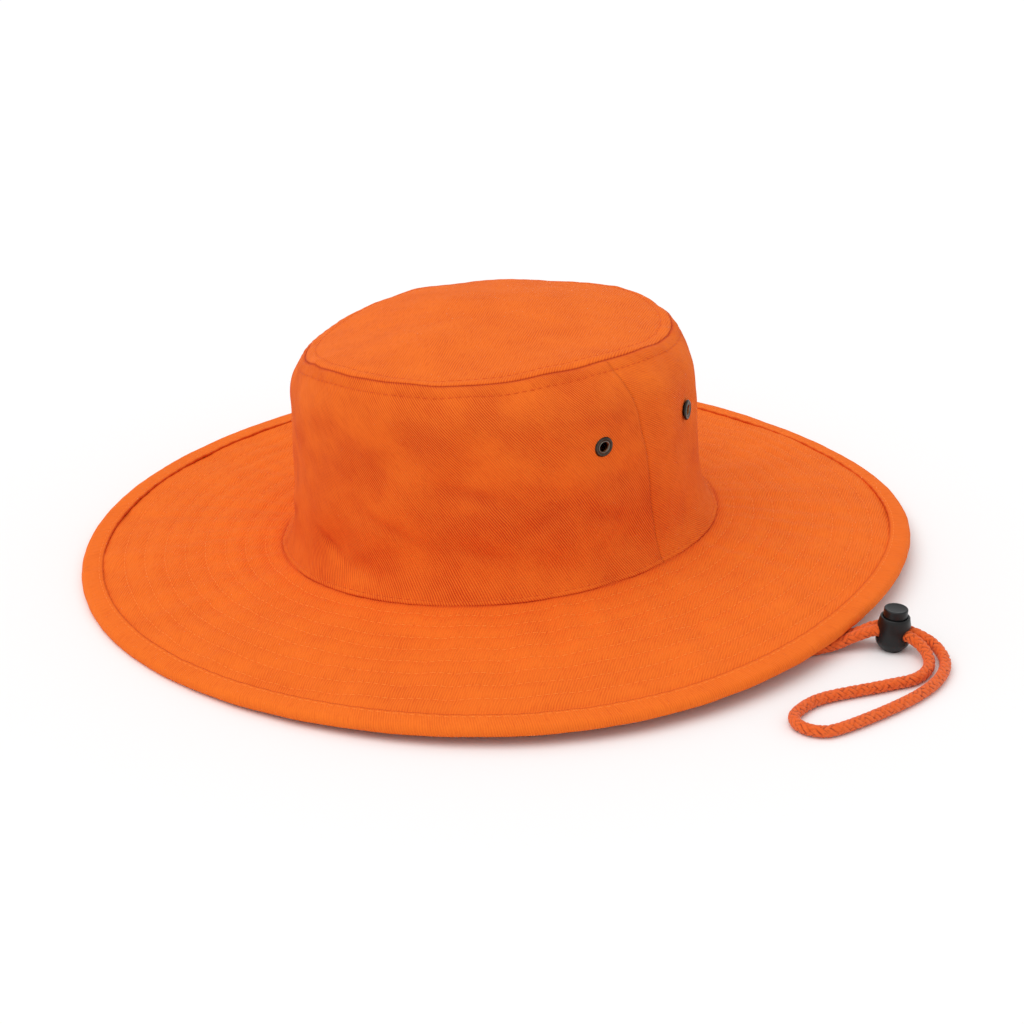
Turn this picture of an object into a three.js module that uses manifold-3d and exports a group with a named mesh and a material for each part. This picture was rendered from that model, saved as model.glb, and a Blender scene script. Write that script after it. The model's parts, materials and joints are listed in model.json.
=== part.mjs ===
// A soft cloth wide-brim hat at rest on a flat surface, with a corded chin strap and its cord lock.
// Millimetres. +Z up, the front of the hat towards -Y, the wearer's left towards +X.
// The origin is on the surface, under the middle of the brim's outline.
// Angles round the hat are in degrees from +X towards +Y.

import * as THREE from "three";
import { mergeVertices } from "three/addons/utils/BufferGeometryUtils.js";
import Module from "manifold-3d";

const wasm = await Module();
wasm.setup();

// Crown sizes
const crownHalfWidth = 83.4; // outside of the wall above its flared foot, left to right
const crownHalfLength = 95; // the same, front to back
const crownHeight = 87.5; // from the foot's seam to the tip's seam, in the middle of the lean
const footFlare = 5.5; // how far the foot of the wall spreads over the brim
const footHeight = 14; // height of the flared stretch
const tipHalfWidth = 72.2;
const tipHalfLength = 85.6;
const tipShiftX = -2.5; // the tip slumps a little to the wearer's right
const tipShiftY = -4.3; // and to the front
const tipDome = 8; // rise of the tip above its seam
const shoulderSwell = 8.1; // how far the wall bulges outside the line of the tip's seam
const shoulderHeight = 17.5; // height of the stretch that turns over to the tip
const seamTwist = 10; // degrees that the side seams drift round between foot and tip
const dentDepth = 2.4; // depth of a dent whose share is 1

// Brim sizes
const brimHalfWidth = 172;
const brimHalfLength = 184;
const brimRise = 11; // mean height of the foot's seam above the lowest edge
const brimCrest = 1.5; // how far the brim bows up between the seam and its edge
const brimTuck = 5.5; // how far the brim runs in under the foot of the crown
const edgeWave = 10; // height of an edge wave whose share is 1
const restPress = 1; // how far the lowest cloth is flattened by the surface
const bindingWidth = 9.5;

// Cloth and clearances
const crownCloth = 1.4;
const brimCloth = 1.2;
const bindingCloth = 1;
const plyGap = 0.3; // between the brim's two plies
const seamGap = 0.3; // between pieces that are sewn together
const footGap = 0.5; // between the foot of the crown and the brim, which meet on a slope

// Eyelet sizes
const eyeletFlangeRadius = 4.3;
const eyeletBarrelRadius = 2.8;
const eyeletHoleRadius = 1.9;
const eyeletFlange = 0.7; // thickness of the rolled flange
const eyeletSpread = 17.2; // degrees to each side of the hat's side line
const eyeletHeight = 57.5; // above the foot's seam
const eyeletGap = 0.35; // between metal and cloth

// Cord lock sizes
const lockRadius = 7;
const lockFootRadius = 4.9;
const lockHeight = 14.4;
const lockMouthHeight = 1.7; // thickness of the collar that holds the plunger in
const lockMouthRadius = 5.7; // outside of that collar
const lockWall = 1.15;
const lockFloor = 1.6;
const capRadius = 4.9;
const capStand = 3.5; // how far the cap stands above the collar at rest
const capRound = 0.8; // rounding of the cap's rim
const pressTravel = 2;
const runningGap = 0.2; // between the plunger and the body
const bridge = 1; // plunger material above and below its window
const lockX = 183;
const lockY = 27;
const lockHeading = 22; // degrees of the cord hole's line from +X
const lockLean = 3.5; // degrees that the lock leans towards the far end of its hole

// Cord sizes
const cordDiameter = 4.6;
const cordGap = 0.4; // between the strands and the lock
const strandGap = 0.24; // between the two strands in the lock
const cordSides = 8;
const cordSteps = 80;

// Fineness of the meshes
const brimColumns = 60;
const panelColumns = 36;
const lockSegments = 20;
const eyeletSegments = 14;

// Waves of each ring, as shares of the size named beside them. Columns: turns round the hat, cos share, sin share.
const edgeOutline = [ // of the brim's half sizes
  { turns: 1, cos: -0.005, sin: 0.004 },
  { turns: 2, cos: 0.002, sin: -0.001 },
  { turns: 3, cos: -0.003, sin: -0.005 },
  { turns: 4, cos: -0.008, sin: -0.005 },
];
const edgeHeights = [ // of edgeWave
  { turns: 1, cos: 0.16, sin: 0.06 },
  { turns: 2, cos: 0.18, sin: -0.12 },
  { turns: 3, cos: 0.08, sin: 0.05 },
  { turns: 4, cos: -0.04, sin: 0.08 },
];
const footHeights = [ // of crownHeight
  { turns: 1, cos: 0.076, sin: -0.015 },
  { turns: 2, cos: -0.005, sin: 0.006 },
];
const tipOutline = [ // of the tip's half sizes
  { turns: 2, cos: 0.004, sin: -0.003 },
  { turns: 3, cos: 0.004, sin: -0.001 },
  { turns: 4, cos: 0.012, sin: 0.005 },
];
const tipHeights = [ // of crownHeight
  { turns: 1, cos: 0.085, sin: -0.043 },
  { turns: 2, cos: 0, sin: -0.018 },
  { turns: 3, cos: 0.004, sin: 0.015 },
  { turns: 4, cos: 0.011, sin: -0.01 },
];
const shoulderShares = [ // of shoulderSwell
  { turns: 1, cos: 0.14, sin: -0.18 },
  { turns: 2, cos: 0.46, sin: -0.23 },
];

// Soft dents in the crown's wall. Columns: middle angle, middle height as a share of the wall, half sizes
// in degrees and as a share of the wall, slant in share per degree, depth as a share of dentDepth.
const dents = [
  { angle: -94, height: 0.15, halfAngle: 11, halfHeight: 0.05, slant: -0.006, depth: 0.9 },
  { angle: -56, height: 0.52, halfAngle: 6, halfHeight: 0.12, slant: 0.004, depth: 0.8 },
  { angle: -63, height: 0.23, halfAngle: 9, halfHeight: 0.07, slant: 0.003, depth: 0.7 },
  { angle: -10, height: 0.2, halfAngle: 7, halfHeight: 0.1, slant: 0.006, depth: 0.8 },
  { angle: -128, height: 0.4, halfAngle: 9, halfHeight: 0.12, slant: 0.005, depth: 0.6 },
  { angle: 44, height: 0.35, halfAngle: 8, halfHeight: 0.14, slant: -0.006, depth: 0.7 },
  { angle: 88, height: 0.2, halfAngle: 13, halfHeight: 0.07, slant: 0.002, depth: 0.9 },
  { angle: 125, height: 0.5, halfAngle: 8, halfHeight: 0.14, slant: 0.006, depth: 0.7 },
  { angle: 168, height: 0.25, halfAngle: 9, halfHeight: 0.09, slant: -0.004, depth: 0.7 },
];

// Outline of the cord lock's body, from its foot up. Columns: shares of lockRadius and of lockHeight
const lockOutline = [
  { radius: 0.93, height: 0.17 },
  { radius: 1, height: 0.33 },
  { radius: 1, height: 0.55 },
  { radius: 0.96, height: 0.72 },
  { radius: 0.89, height: 0.9 },
];

// Rows of the meshes, as shares from the foot to the tip, from the edge of the tip to its middle, and across the brim
const wallRows = [0, 0.05, 0.1, 0.16, 0.3, 0.45, 0.6, 0.75, 0.84, 0.92, 1];
const tipRows = [0, 0.08, 0.25, 0.5, 0.78];
const brimRows = [0, 0.33, 0.67, 1];

// Centre line of the chin strap, from its sewn end at the wearer's left, over the surface and out under the
// brim, through the lock, round the loop, back through the lock and under the crown to its other sewn end
const cordRoute = [
  [82.8, 5, 24.6],
  [74.4, 6.6, 19.6],
  [66, 11, 7.6],
  [52, 17.4, 2.8],
  [36, 13, 2.6],
  [32, -2, 2.6],
  [46, -14, 2.6],
  [134, -17.6, 2.6],
  [153, -3.6, 2.6],
  [164.4, 12.2, 3.1],
  [170.7, 21.4, 5.5],
  [176.2, 26.8, 8.1],
  [182.5, 29.4, 7.7],
  [189.1, 32, 7.25],
  [198.4, 33, 4.8],
  [208.2, 26.8, 2.8],
  [214.8, 13, 2.6],
  [216.2, -8, 2.6],
  [208.3, -48.4, 2.6],
  [205.4, -53.4, 2.6],
  [200.2, -55.9, 2.6],
  [194.4, -55.3, 2.6],
  [189.9, -51.5, 2.6],
  [188.2, -45.9, 2.6],
  [188.8, -33, 2.6],
  [202.2, -6.2, 2.6],
  [208, 7, 2.6],
  [206.2, 18.4, 2.9],
  [199.4, 25.6, 5],
  [190.9, 27.4, 7.25],
  [184.3, 24.9, 7.7],
  [177.9, 22.4, 8.15],
  [172.8, 16.5, 6.3],
  [166.4, 6.6, 3.3],
  [151, -14.6, 2.6],
  [128, -27.4, 2.6],
  [92, -31, 2.6],
  [-38, -5.4, 2.9],
  [-67, 0.8, 4.8],
  [-84, 2.6, 10.6],
];

const turn = Math.PI / 180;

function wave(rows, angle) {
  return rows.reduce(
    (sum, row) => sum + row.cos * Math.cos(row.turns * angle) + row.sin * Math.sin(row.turns * angle),
    0,
  );
}

function angles(count) {
  return Array.from({ length: count }, (_, i) => (2 * Math.PI * i) / count);
}

// The brim's outline before it is centred on the origin
function looseOutline(angle) {
  const swell = 1 + wave(edgeOutline, angle);
  return new THREE.Vector2(brimHalfWidth * swell * Math.cos(angle), brimHalfLength * swell * Math.sin(angle));
}

const outlineBox = new THREE.Box2().setFromPoints(angles(brimColumns).map(looseOutline));
const outlineMiddle = outlineBox.getCenter(new THREE.Vector2());
const lowestWave = Math.min(...angles(brimColumns).map((angle) => wave(edgeHeights, angle)));
const bindingHalf = plyGap / 2 + brimCloth + seamGap + bindingCloth;
const brimHalf = plyGap / 2 + brimCloth;

// The outer line of the binding, at half its thickness
function edgePoint(angle) {
  const flat = looseOutline(angle).sub(outlineMiddle);
  const lift = edgeWave * (wave(edgeHeights, angle) - lowestWave);
  return new THREE.Vector3(flat.x, flat.y, lift + bindingHalf - restPress);
}

// The outer line of the crown's foot, where it meets the brim
function footPoint(angle) {
  return new THREE.Vector3(
    (crownHalfWidth + footFlare) * Math.cos(angle),
    (crownHalfLength + footFlare) * Math.sin(angle),
    brimRise + bindingHalf + crownHeight * wave(footHeights, angle),
  );
}

// The seam between the wall and the tip
function tipPoint(angle) {
  const swell = 1 + wave(tipOutline, angle);
  return new THREE.Vector3(
    tipShiftX + tipHalfWidth * swell * Math.cos(angle),
    tipShiftY + tipHalfLength * swell * Math.sin(angle),
    brimRise + bindingHalf + crownHeight * (1 + wave(tipHeights, angle)),
  );
}

function dentAt(angle, share) {
  return dents.reduce((sum, dent) => {
    const raw = angle / turn - dent.angle;
    const along = raw - 360 * Math.round(raw / 360);
    const across = share - dent.height - dent.slant * along;
    const reach = (along / dent.halfAngle) ** 2 + (across / dent.halfHeight) ** 2;
    return sum + dent.depth * Math.exp(-reach);
  }, 0);
}

// The outside of the crown's wall, from its foot at share 0 to the tip's seam at share 1
function wallPoint(angle, share) {
  const foot = footPoint(angle);
  const tip = tipPoint(angle);
  const out = new THREE.Vector3(Math.cos(angle), Math.sin(angle), 0);
  const swell = shoulderSwell * (1 + wave(shoulderShares, angle));
  const low = foot.clone().addScaledVector(out, -footFlare);
  const high = tip.clone().addScaledVector(out, swell);
  const flare = Math.max(0, 1 - share / (footHeight / crownHeight)) ** 2;
  const over = Math.max(0, 1 - (1 - share) / (shoulderHeight / crownHeight)) ** 2;
  const push = footFlare * flare - swell * over - dentDepth * dentAt(angle, share);
  return low.lerp(high, share).addScaledVector(out, push);
}

// The outside of the tip, from its seam at share 0 to its middle at share 1
function domePoint(angle, share) {
  const rim = tipPoint(angle);
  const middle = new THREE.Vector3(tipShiftX, tipShiftY, brimRise + bindingHalf + crownHeight);
  const level = 1 - (1 - share) ** 2;
  const point = rim.clone().lerp(middle, share);
  point.z = rim.z * (1 - level) + (middle.z + tipDome) * level;
  return point;
}

// The middle of the brim's two plies, from the crown's foot at share 0 to the edge at share 1
function brimPoint(angle, share) {
  const foot = footPoint(angle);
  foot.z -= footGap + brimHalf;
  const point = foot.lerp(edgePoint(angle), share);
  point.z += 4 * brimCrest * Math.max(0, share) * (1 - share);
  return point;
}

// The brim's upward normal
function brimFacing(angle, share) {
  return normalOf(brimPoint, angle, share).negate();
}

function brimLength(angle) {
  return footPoint(angle).distanceTo(edgePoint(angle));
}

// The outward normal of a surface given as a function of angle and share, by small steps
function normalOf(surface, angle, share) {
  const step = 1e-3;
  const round = surface(angle + step, share).sub(surface(angle - step, share));
  const up = surface(angle, share + step).sub(surface(angle, share - step));
  return round.cross(up).normalize();
}

// Both faces of the cloth bisect the corner at the tip's seam, so the wall and the tip meet on one line
function mitre(angle) {
  const wall = normalOf(wallPoint, angle, 1);
  const dome = normalOf(domePoint, angle, 0);
  const middle = wall.clone().add(dome).normalize();
  return middle.multiplyScalar(crownCloth / middle.dot(wall));
}

function geometryFrom(points, faces) {
  const geometry = new THREE.BufferGeometry().setFromPoints(points);
  const volume = faces.reduce((sum, [a, b, c]) => {
    const cross = new THREE.Vector3().crossVectors(points[b], points[c]);
    return sum + points[a].dot(cross);
  }, 0);
  const outward = volume > 0 ? faces : faces.map(([a, b, c]) => [a, c, b]);
  geometry.setIndex(outward.flat());
  geometry.computeVertexNormals();
  return geometry;
}

// One closed body between an outer and an inner grid of points with the same rows and columns. A ring joins
// its last column to its first. With two middle points, the last row closes onto them.
function closedShell(outer, inner, isRing, middles = []) {
  const columns = outer[0].length;
  const size = outer.length * columns;
  const points = [...outer.flat(), ...inner.flat(), ...middles];
  const last = outer.length - 1;
  const spans = isRing ? columns : columns - 1;
  const faces = [];
  const quad = (a, b, c, d) => faces.push([a, b, c], [a, c, d]);
  for (let j = 0; j < spans; j += 1) {
    const k = (j + 1) % columns;
    for (let i = 0; i < last; i += 1) {
      const a = i * columns;
      const b = a + columns;
      quad(a + j, a + k, b + k, b + j);
      quad(size + a + k, size + a + j, size + b + j, size + b + k);
    }
    const top = last * columns;
    quad(k, j, size + j, size + k);
    if (middles.length === 0) {
      quad(top + j, top + k, size + top + k, size + top + j);
    } else {
      faces.push([top + j, top + k, 2 * size], [size + top + k, size + top + j, 2 * size + 1]);
    }
  }
  if (!isRing) {
    for (let i = 0; i < last; i += 1) {
      const a = i * columns;
      const b = a + columns;
      quad(a, b, size + b, size + a);
      quad(b + columns - 1, a + columns - 1, size + a + columns - 1, size + b + columns - 1);
    }
  }
  return geometryFrom(points, faces);
}

function toSolid(geometry) {
  const bare = geometry.clone();
  bare.deleteAttribute("normal");
  bare.deleteAttribute("uv");
  const merged = mergeVertices(bare, 1e-4);
  const corners = Array.from(merged.index.array);
  const triVerts = [];
  for (let i = 0; i < corners.length; i += 3) {
    const [a, b, c] = corners.slice(i, i + 3);
    if (a !== b && b !== c && c !== a) {
      triVerts.push(a, b, c);
    }
  }
  const vertProperties = merged.getAttribute("position").array;
  return new wasm.Manifold(new wasm.Mesh({ numProp: 3, vertProperties, triVerts: Uint32Array.from(triVerts) }));
}

function fromSolid(solid) {
  const mesh = solid.getMesh();
  const geometry = new THREE.BufferGeometry();
  geometry.setAttribute("position", new THREE.BufferAttribute(mesh.vertProperties, 3));
  geometry.setIndex(new THREE.BufferAttribute(mesh.triVerts, 1));
  geometry.computeVertexNormals();
  return geometry;
}

// A solid turned about +Z from a closed profile of [radius, height] pairs that runs anticlockwise
function turned(profile, segments) {
  const points = profile.map(([radius, height]) => new THREE.Vector2(radius, height));
  return new THREE.LatheGeometry(points, segments).rotateX(Math.PI / 2);
}

// A bar with round sides along +X, centred on the origin
function slotBar(halfWidth, low, high, length, round) {
  const shape = new THREE.Shape();
  shape.moveTo(-halfWidth + round, low);
  shape.lineTo(halfWidth - round, low);
  shape.absarc(halfWidth - round, low + round, round, -Math.PI / 2, 0);
  shape.absarc(halfWidth - round, high - round, round, 0, Math.PI / 2);
  shape.absarc(-halfWidth + round, high - round, round, Math.PI / 2, Math.PI);
  shape.absarc(-halfWidth + round, low + round, round, Math.PI, Math.PI * 1.5);
  const bar = new THREE.ExtrudeGeometry(shape, { depth: length, bevelEnabled: false, curveSegments: 4 });
  bar.translate(0, 0, -length / 2);
  return bar.rotateX(Math.PI / 2).rotateZ(Math.PI / 2);
}

function piece(name, geometry, material) {
  const mesh = new THREE.Mesh(geometry, material);
  mesh.name = name;
  return mesh;
}

const cloth = (color) => new THREE.MeshStandardMaterial({ color, roughness: 0.9, metalness: 0 });
const tipCloth = cloth("#f37835");
const wallCloth = cloth("#e4602a");
const brimClothFace = cloth("#f1722c");
const bindingClothFace = cloth("#f27430");
const cordBraid = cloth("#e0602f");
const gunmetal = new THREE.MeshStandardMaterial({ color: "#4a4743", roughness: 0.35, metalness: 0.9 });
const blackPlastic = new THREE.MeshStandardMaterial({ color: "#2a2a2a", roughness: 0.5, metalness: 0 });

function crownTip() {
  const around = angles(brimColumns);
  const inset = seamGap / 2 / tipHalfWidth;
  const shares = tipRows.map((share) => Math.max(share, inset));
  const outer = shares.map((share) => around.map((angle) => domePoint(angle, share)));
  const inner = shares.map((share, row) =>
    around.map((angle, column) => {
      const depth = row === 0 ? mitre(angle) : normalOf(domePoint, angle, share).multiplyScalar(crownCloth);
      return outer[row][column].clone().sub(depth);
    }),
  );
  const top = domePoint(0, 1);
  const under = top.clone().setZ(top.z - crownCloth);
  return piece("crown_tip", closedShell(outer, inner, true, [top, under]), tipCloth);
}

function sidePlace(side) {
  return side === "left" ? 0 : Math.PI;
}

// The middle of an eyelet, half-way through the cloth, and the direction that it faces
function eyeletPlace(side, offset) {
  const angle = sidePlace(side) + offset * eyeletSpread * turn;
  const share = eyeletHeight / crownHeight;
  const facing = normalOf(wallPoint, angle, share);
  return { facing, middle: wallPoint(angle, share).addScaledVector(facing, -crownCloth / 2) };
}

function turnedTo(facing) {
  return new THREE.Quaternion().setFromUnitVectors(new THREE.Vector3(0, 0, 1), facing);
}

const eyelets = [
  { name: "eyelet_left_front", side: "left", offset: -1 },
  { name: "eyelet_left_back", side: "left", offset: 1 },
  { name: "eyelet_right_back", side: "right", offset: -1 },
  { name: "eyelet_right_front", side: "right", offset: 1 },
];

function eyeletHole({ side, offset }) {
  const { facing, middle } = eyeletPlace(side, offset);
  const radius = eyeletBarrelRadius + eyeletGap;
  const depth = 6 * crownCloth; // more than the cloth is thick, so that the hole goes right through
  const drill = new THREE.CylinderGeometry(radius, radius, depth, eyeletSegments).rotateX(Math.PI / 2);
  drill.applyQuaternion(turnedTo(facing)).translate(middle.x, middle.y, middle.z);
  return toSolid(drill);
}

// Half of the crown's wall, between its two side seams
function crownPanel(name, start) {
  const shares = wallRows.map((share) => Math.min(share, 1 - seamGap / 2 / crownHeight));
  const margin = seamGap / 2 / crownHalfWidth;
  const columns = Array.from({ length: panelColumns + 1 }, (_, i) => i / panelColumns);
  const angleAt = (share, part) => {
    const drift = -seamTwist * turn * share ** 2;
    return start + drift + margin + part * (Math.PI - 2 * margin);
  };
  const outer = shares.map((share) => columns.map((part) => wallPoint(angleAt(share, part), share)));
  const inner = shares.map((share, row) =>
    columns.map((part, column) => {
      const angle = angleAt(share, part);
      const facing = normalOf(wallPoint, angle, share);
      if (row === 0) {
        facing.setZ(0).normalize();
      }
      const depth = row === shares.length - 1 ? mitre(angle) : facing.multiplyScalar(crownCloth);
      return outer[row][column].clone().sub(depth);
    }),
  );
  const drilled = eyelets.reduce(
    (solid, eyelet) => solid.subtract(eyeletHole(eyelet)),
    toSolid(closedShell(outer, inner, false)),
  );
  return piece(name, fromSolid(drilled), wallCloth);
}

function eyelet({ name, side, offset }) {
  const { facing, middle } = eyeletPlace(side, offset);
  const seat = crownCloth / 2 + eyeletGap;
  const crest = seat + eyeletFlange;
  const middleRadius = (eyeletFlangeRadius + eyeletHoleRadius) / 2;
  const profile = [
    [eyeletHoleRadius, -seat],
    [middleRadius, -crest],
    [eyeletFlangeRadius, -seat],
    [eyeletBarrelRadius, -seat],
    [eyeletBarrelRadius, seat],
    [eyeletFlangeRadius, seat],
    [middleRadius, crest],
    [eyeletHoleRadius, seat],
    [eyeletHoleRadius, -seat],
  ];
  const ring = piece(name, fromSolid(toSolid(turned(profile, eyeletSegments))), gunmetal);
  ring.quaternion.copy(turnedTo(facing));
  ring.position.copy(middle);
  return ring;
}

// One ply of the brim, above the middle of the two with side 1 and below it with side -1
function brimPly(name, side) {
  const around = angles(brimColumns);
  const place = (angle, row, height) => {
    const length = brimLength(angle);
    const first = -brimTuck / length;
    const last = 1 - bindingHalf / length;
    const share = first + row * (last - first);
    const facing = brimFacing(angle, share);
    return brimPoint(angle, share).addScaledVector(facing, side * height);
  };
  const outer = brimRows.map((row) => around.map((angle) => place(angle, row, plyGap / 2 + brimCloth)));
  const inner = brimRows.map((row) => around.map((angle) => place(angle, row, plyGap / 2)));
  return piece(name, closedShell(outer, inner, true), brimClothFace);
}

// The strip folded over the brim's edge. Its section is a flat loop with a round nose, and what would
// reach below the surface is pressed flat on it.
function brimBinding() {
  const around = angles(brimColumns);
  const section = (half) => {
    const nose = [60, 0, -60].map((bend) => [half * Math.cos(bend * turn), half * Math.sin(bend * turn)]);
    const back = bindingHalf - bindingWidth;
    return [[back, half], [0, half], ...nose, [0, -half], [back, -half]];
  };
  const place = (angle, [along, height]) => {
    const share = 1 - bindingHalf / brimLength(angle);
    const root = brimPoint(angle, share);
    const facing = brimFacing(angle, share);
    const outward = edgePoint(angle).sub(root);
    outward.addScaledVector(facing, -outward.dot(facing)).normalize();
    const point = root.addScaledVector(outward, along).addScaledVector(facing, height);
    return point.setZ(Math.max(0, point.z));
  };
  const rows = (half) => section(half).map((corner) => around.map((angle) => place(angle, corner)));
  const shell = closedShell(rows(bindingHalf), rows(bindingHalf - bindingCloth), true);
  return piece("brim_binding", shell, bindingClothFace);
}

const plungerRadius = lockRadius - lockWall - runningGap;
const boreTop = lockHeight - lockMouthHeight;
const windowHalfWidth = cordDiameter + strandGap / 2 + cordGap;
const windowLow = lockFloor + pressTravel + runningGap + bridge;
const windowHigh = windowLow + cordDiameter + 2 * cordGap + pressTravel;
const holeHigh = windowLow + cordDiameter + 2 * cordGap;
const holeLength = 4 * lockRadius; // more than the lock is wide, so that the hole goes right through

function lockBody() {
  const bore = plungerRadius + runningGap;
  const mouth = capRadius + runningGap;
  const profile = [
    [0, 0],
    [lockFootRadius, 0],
    ...lockOutline.map(({ radius, height }) => [radius * lockRadius, height * lockHeight]),
    [lockMouthRadius, lockHeight],
    [mouth, lockHeight],
    [mouth, boreTop],
    [bore, boreTop],
    [bore, lockFloor],
    [0, lockFloor],
  ];
  const hole = slotBar(windowHalfWidth, windowLow, holeHigh, holeLength, cordDiameter / 2);
  const solid = toSolid(turned(profile, lockSegments)).subtract(toSolid(hole));
  return piece("toggle_body", fromSolid(solid), blackPlastic);
}

function lockPlunger() {
  const low = windowLow - bridge;
  const collar = boreTop - runningGap;
  const top = lockHeight + capStand;
  const profile = [
    [0, low],
    [plungerRadius, low],
    [plungerRadius, collar],
    [capRadius, collar],
    [capRadius, top - capRound],
    [capRadius - capRound, top],
    [0, top],
  ];
  const hole = slotBar(windowHalfWidth, windowLow, windowHigh, holeLength, cordDiameter / 2);
  const solid = toSolid(turned(profile, lockSegments)).subtract(toSolid(hole));
  return piece("toggle_plunger", fromSolid(solid), blackPlastic);
}

// The lock stands on the surface on the rim of its foot, and leans along its cord hole
function cordLock() {
  const lock = new THREE.Group();
  lock.add(lockBody(), lockPlunger());
  lock.rotation.set(0, lockLean * turn, lockHeading * turn, "ZYX");
  lock.position.set(lockX, lockY, lockFootRadius * Math.sin(lockLean * turn));
  return lock;
}

function chinCord() {
  const route = cordRoute.map((point) => new THREE.Vector3(...point));
  const path = new THREE.CatmullRomCurve3(route, false, "centripetal");
  const corners = angles(cordSides).map((angle) => {
    const facing = angle + Math.PI / cordSides;
    return new THREE.Vector2(Math.cos(facing), Math.sin(facing)).multiplyScalar(cordDiameter / 2);
  });
  const section = new THREE.Shape(corners);
  const tube = new THREE.ExtrudeGeometry(section, { steps: cordSteps, bevelEnabled: false, extrudePath: path });
  return piece("chin_cord", fromSolid(toSolid(tube)), cordBraid);
}

const hat = new THREE.Group();
hat.add(
  crownTip(),
  crownPanel("crown_side_front", -Math.PI),
  crownPanel("crown_side_back", 0),
  brimPly("brim_top", 1),
  brimPly("brim_under", -1),
  brimBinding(),
  ...eyelets.map(eyelet),
  chinCord(),
  cordLock(),
);

export default hat;
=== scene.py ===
"""A soft cloth wide-brim hat at rest, with its stitching, eyelets, braided chin strap and cord lock.

Metres, +Z up, the front of the hat towards -Y and the wearer's left towards +X. Sizes that are named
in millimetres are turned into metres by MM.
"""

import json
import math

import bpy
import numpy as np
from bpy.props import FloatProperty, FloatVectorProperty, IntProperty, PointerProperty
from mathutils import Matrix, Vector
from mathutils.bvhtree import BVHTree


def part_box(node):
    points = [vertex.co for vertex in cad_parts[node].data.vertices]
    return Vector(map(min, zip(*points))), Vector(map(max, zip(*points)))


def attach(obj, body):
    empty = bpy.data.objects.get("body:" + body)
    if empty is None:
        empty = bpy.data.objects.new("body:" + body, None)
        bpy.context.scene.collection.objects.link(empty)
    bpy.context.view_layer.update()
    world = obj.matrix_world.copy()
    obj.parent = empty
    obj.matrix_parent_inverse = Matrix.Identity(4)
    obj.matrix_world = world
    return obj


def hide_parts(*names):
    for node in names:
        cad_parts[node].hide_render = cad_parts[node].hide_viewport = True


bl_info = {
    "name": "Wide-brim cloth hat",
    "version": (1, 0, 0),
    "blender": (4, 5, 0),
    "location": "View3D > Sidebar > Hat",
    "description": "Builds the cloth, stitching, cord and fittings of a wide-brim hat around its frame",
    "category": "Object",
}

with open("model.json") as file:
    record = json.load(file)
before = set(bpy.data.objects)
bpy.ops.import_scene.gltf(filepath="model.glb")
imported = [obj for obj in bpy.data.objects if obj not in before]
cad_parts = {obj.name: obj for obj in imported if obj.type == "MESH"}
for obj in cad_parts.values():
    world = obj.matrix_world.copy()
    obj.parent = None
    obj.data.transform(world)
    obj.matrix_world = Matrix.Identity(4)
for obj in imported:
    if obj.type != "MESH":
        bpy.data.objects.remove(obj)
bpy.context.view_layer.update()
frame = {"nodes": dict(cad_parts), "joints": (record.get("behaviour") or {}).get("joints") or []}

MM = 0.001
TURN = 2 * math.pi

# Columns and rows at which the frame's surfaces are read, as shares from one edge to the other
READ_COLUMNS = 360
WALL_ROWS = (0, 0.05, 0.1, 0.16, 0.3, 0.45, 0.6, 0.75, 0.84, 0.92, 1)
TIP_ROWS = (0, 0.08, 0.25, 0.5, 0.78, 1)
BRIM_ROWS = (0, 0.33, 0.67, 1)
EDGE_SHARE = 0.004  # how far inside an edge a ray is cast, so that it meets the cloth
WALL_WAVES = 40  # the shortest wave kept round the crown, in waves a turn
BRIM_WAVES = 20

# The photo's camera, as a place on a sphere round a point over the middle of the hat
VIEW_AZIMUTH = 40.0
VIEW_ELEVATION = 22.843
VIEW_DISTANCE = 1.3
VIEW_TARGET = (0, 0, 0.045)
VIEW_LENS = 106.9
VIEW_SHIFT = (0.01036, -0.05827)

# Centre line of the chin strap in millimetres, from its sewn end at the wearer's left, out under the brim,
# through the lock, round the loop, back through the lock and under the crown to its other sewn end
CORD_ROUTE = (
    (82.8, 5, 24.6),
    (74.4, 6.6, 19.6),
    (66, 11, 7.6),
    (52, 17.4, 2.8),
    (36, 13, 2.6),
    (32, -2, 2.6),
    (46, -14, 2.6),
    (134, -17.6, 2.6),
    (153, -3.6, 2.6),
    (164.4, 12.2, 3.1),
    (170.7, 21.4, 5.5),
    (176.2, 26.8, 8.1),
    (182.5, 29.4, 7.7),
    (189.1, 32, 7.25),
    (198.4, 33, 4.8),
    (208.2, 26.8, 2.8),
    (214.8, 13, 2.6),
    (216.2, -8, 2.6),
    (208.3, -48.4, 2.6),
    (205.4, -53.4, 2.6),
    (200.2, -55.9, 2.6),
    (194.4, -55.3, 2.6),
    (189.9, -51.5, 2.6),
    (188.2, -45.9, 2.6),
    (188.8, -33, 2.6),
    (202.2, -6.2, 2.6),
    (208, 7, 2.6),
    (206.2, 18.4, 2.9),
    (199.4, 25.6, 5),
    (190.9, 27.4, 7.25),
    (184.3, 24.9, 7.7),
    (177.9, 22.4, 8.15),
    (172.8, 16.5, 6.3),
    (166.4, 6.6, 3.3),
    (151, -14.6, 2.6),
    (128, -27.4, 2.6),
    (92, -31, 2.6),
    (-38, -5.4, 2.9),
    (-67, 0.8, 4.8),
    (-84, 2.6, 10.6),
)


def size_property(name, description, millimetres):
    """A length that a user can change, kept in metres."""
    return FloatProperty(
        name=name,
        description=description,
        default=millimetres * MM,
        min=0,
        precision=4,
        subtype="DISTANCE",
        unit="LENGTH",
    )


def colour_property(name, description, colour):
    """A colour that a user can change."""
    return FloatVectorProperty(
        name=name, description=description, default=colour, size=3, min=0, max=1, subtype="COLOR"
    )


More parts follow.
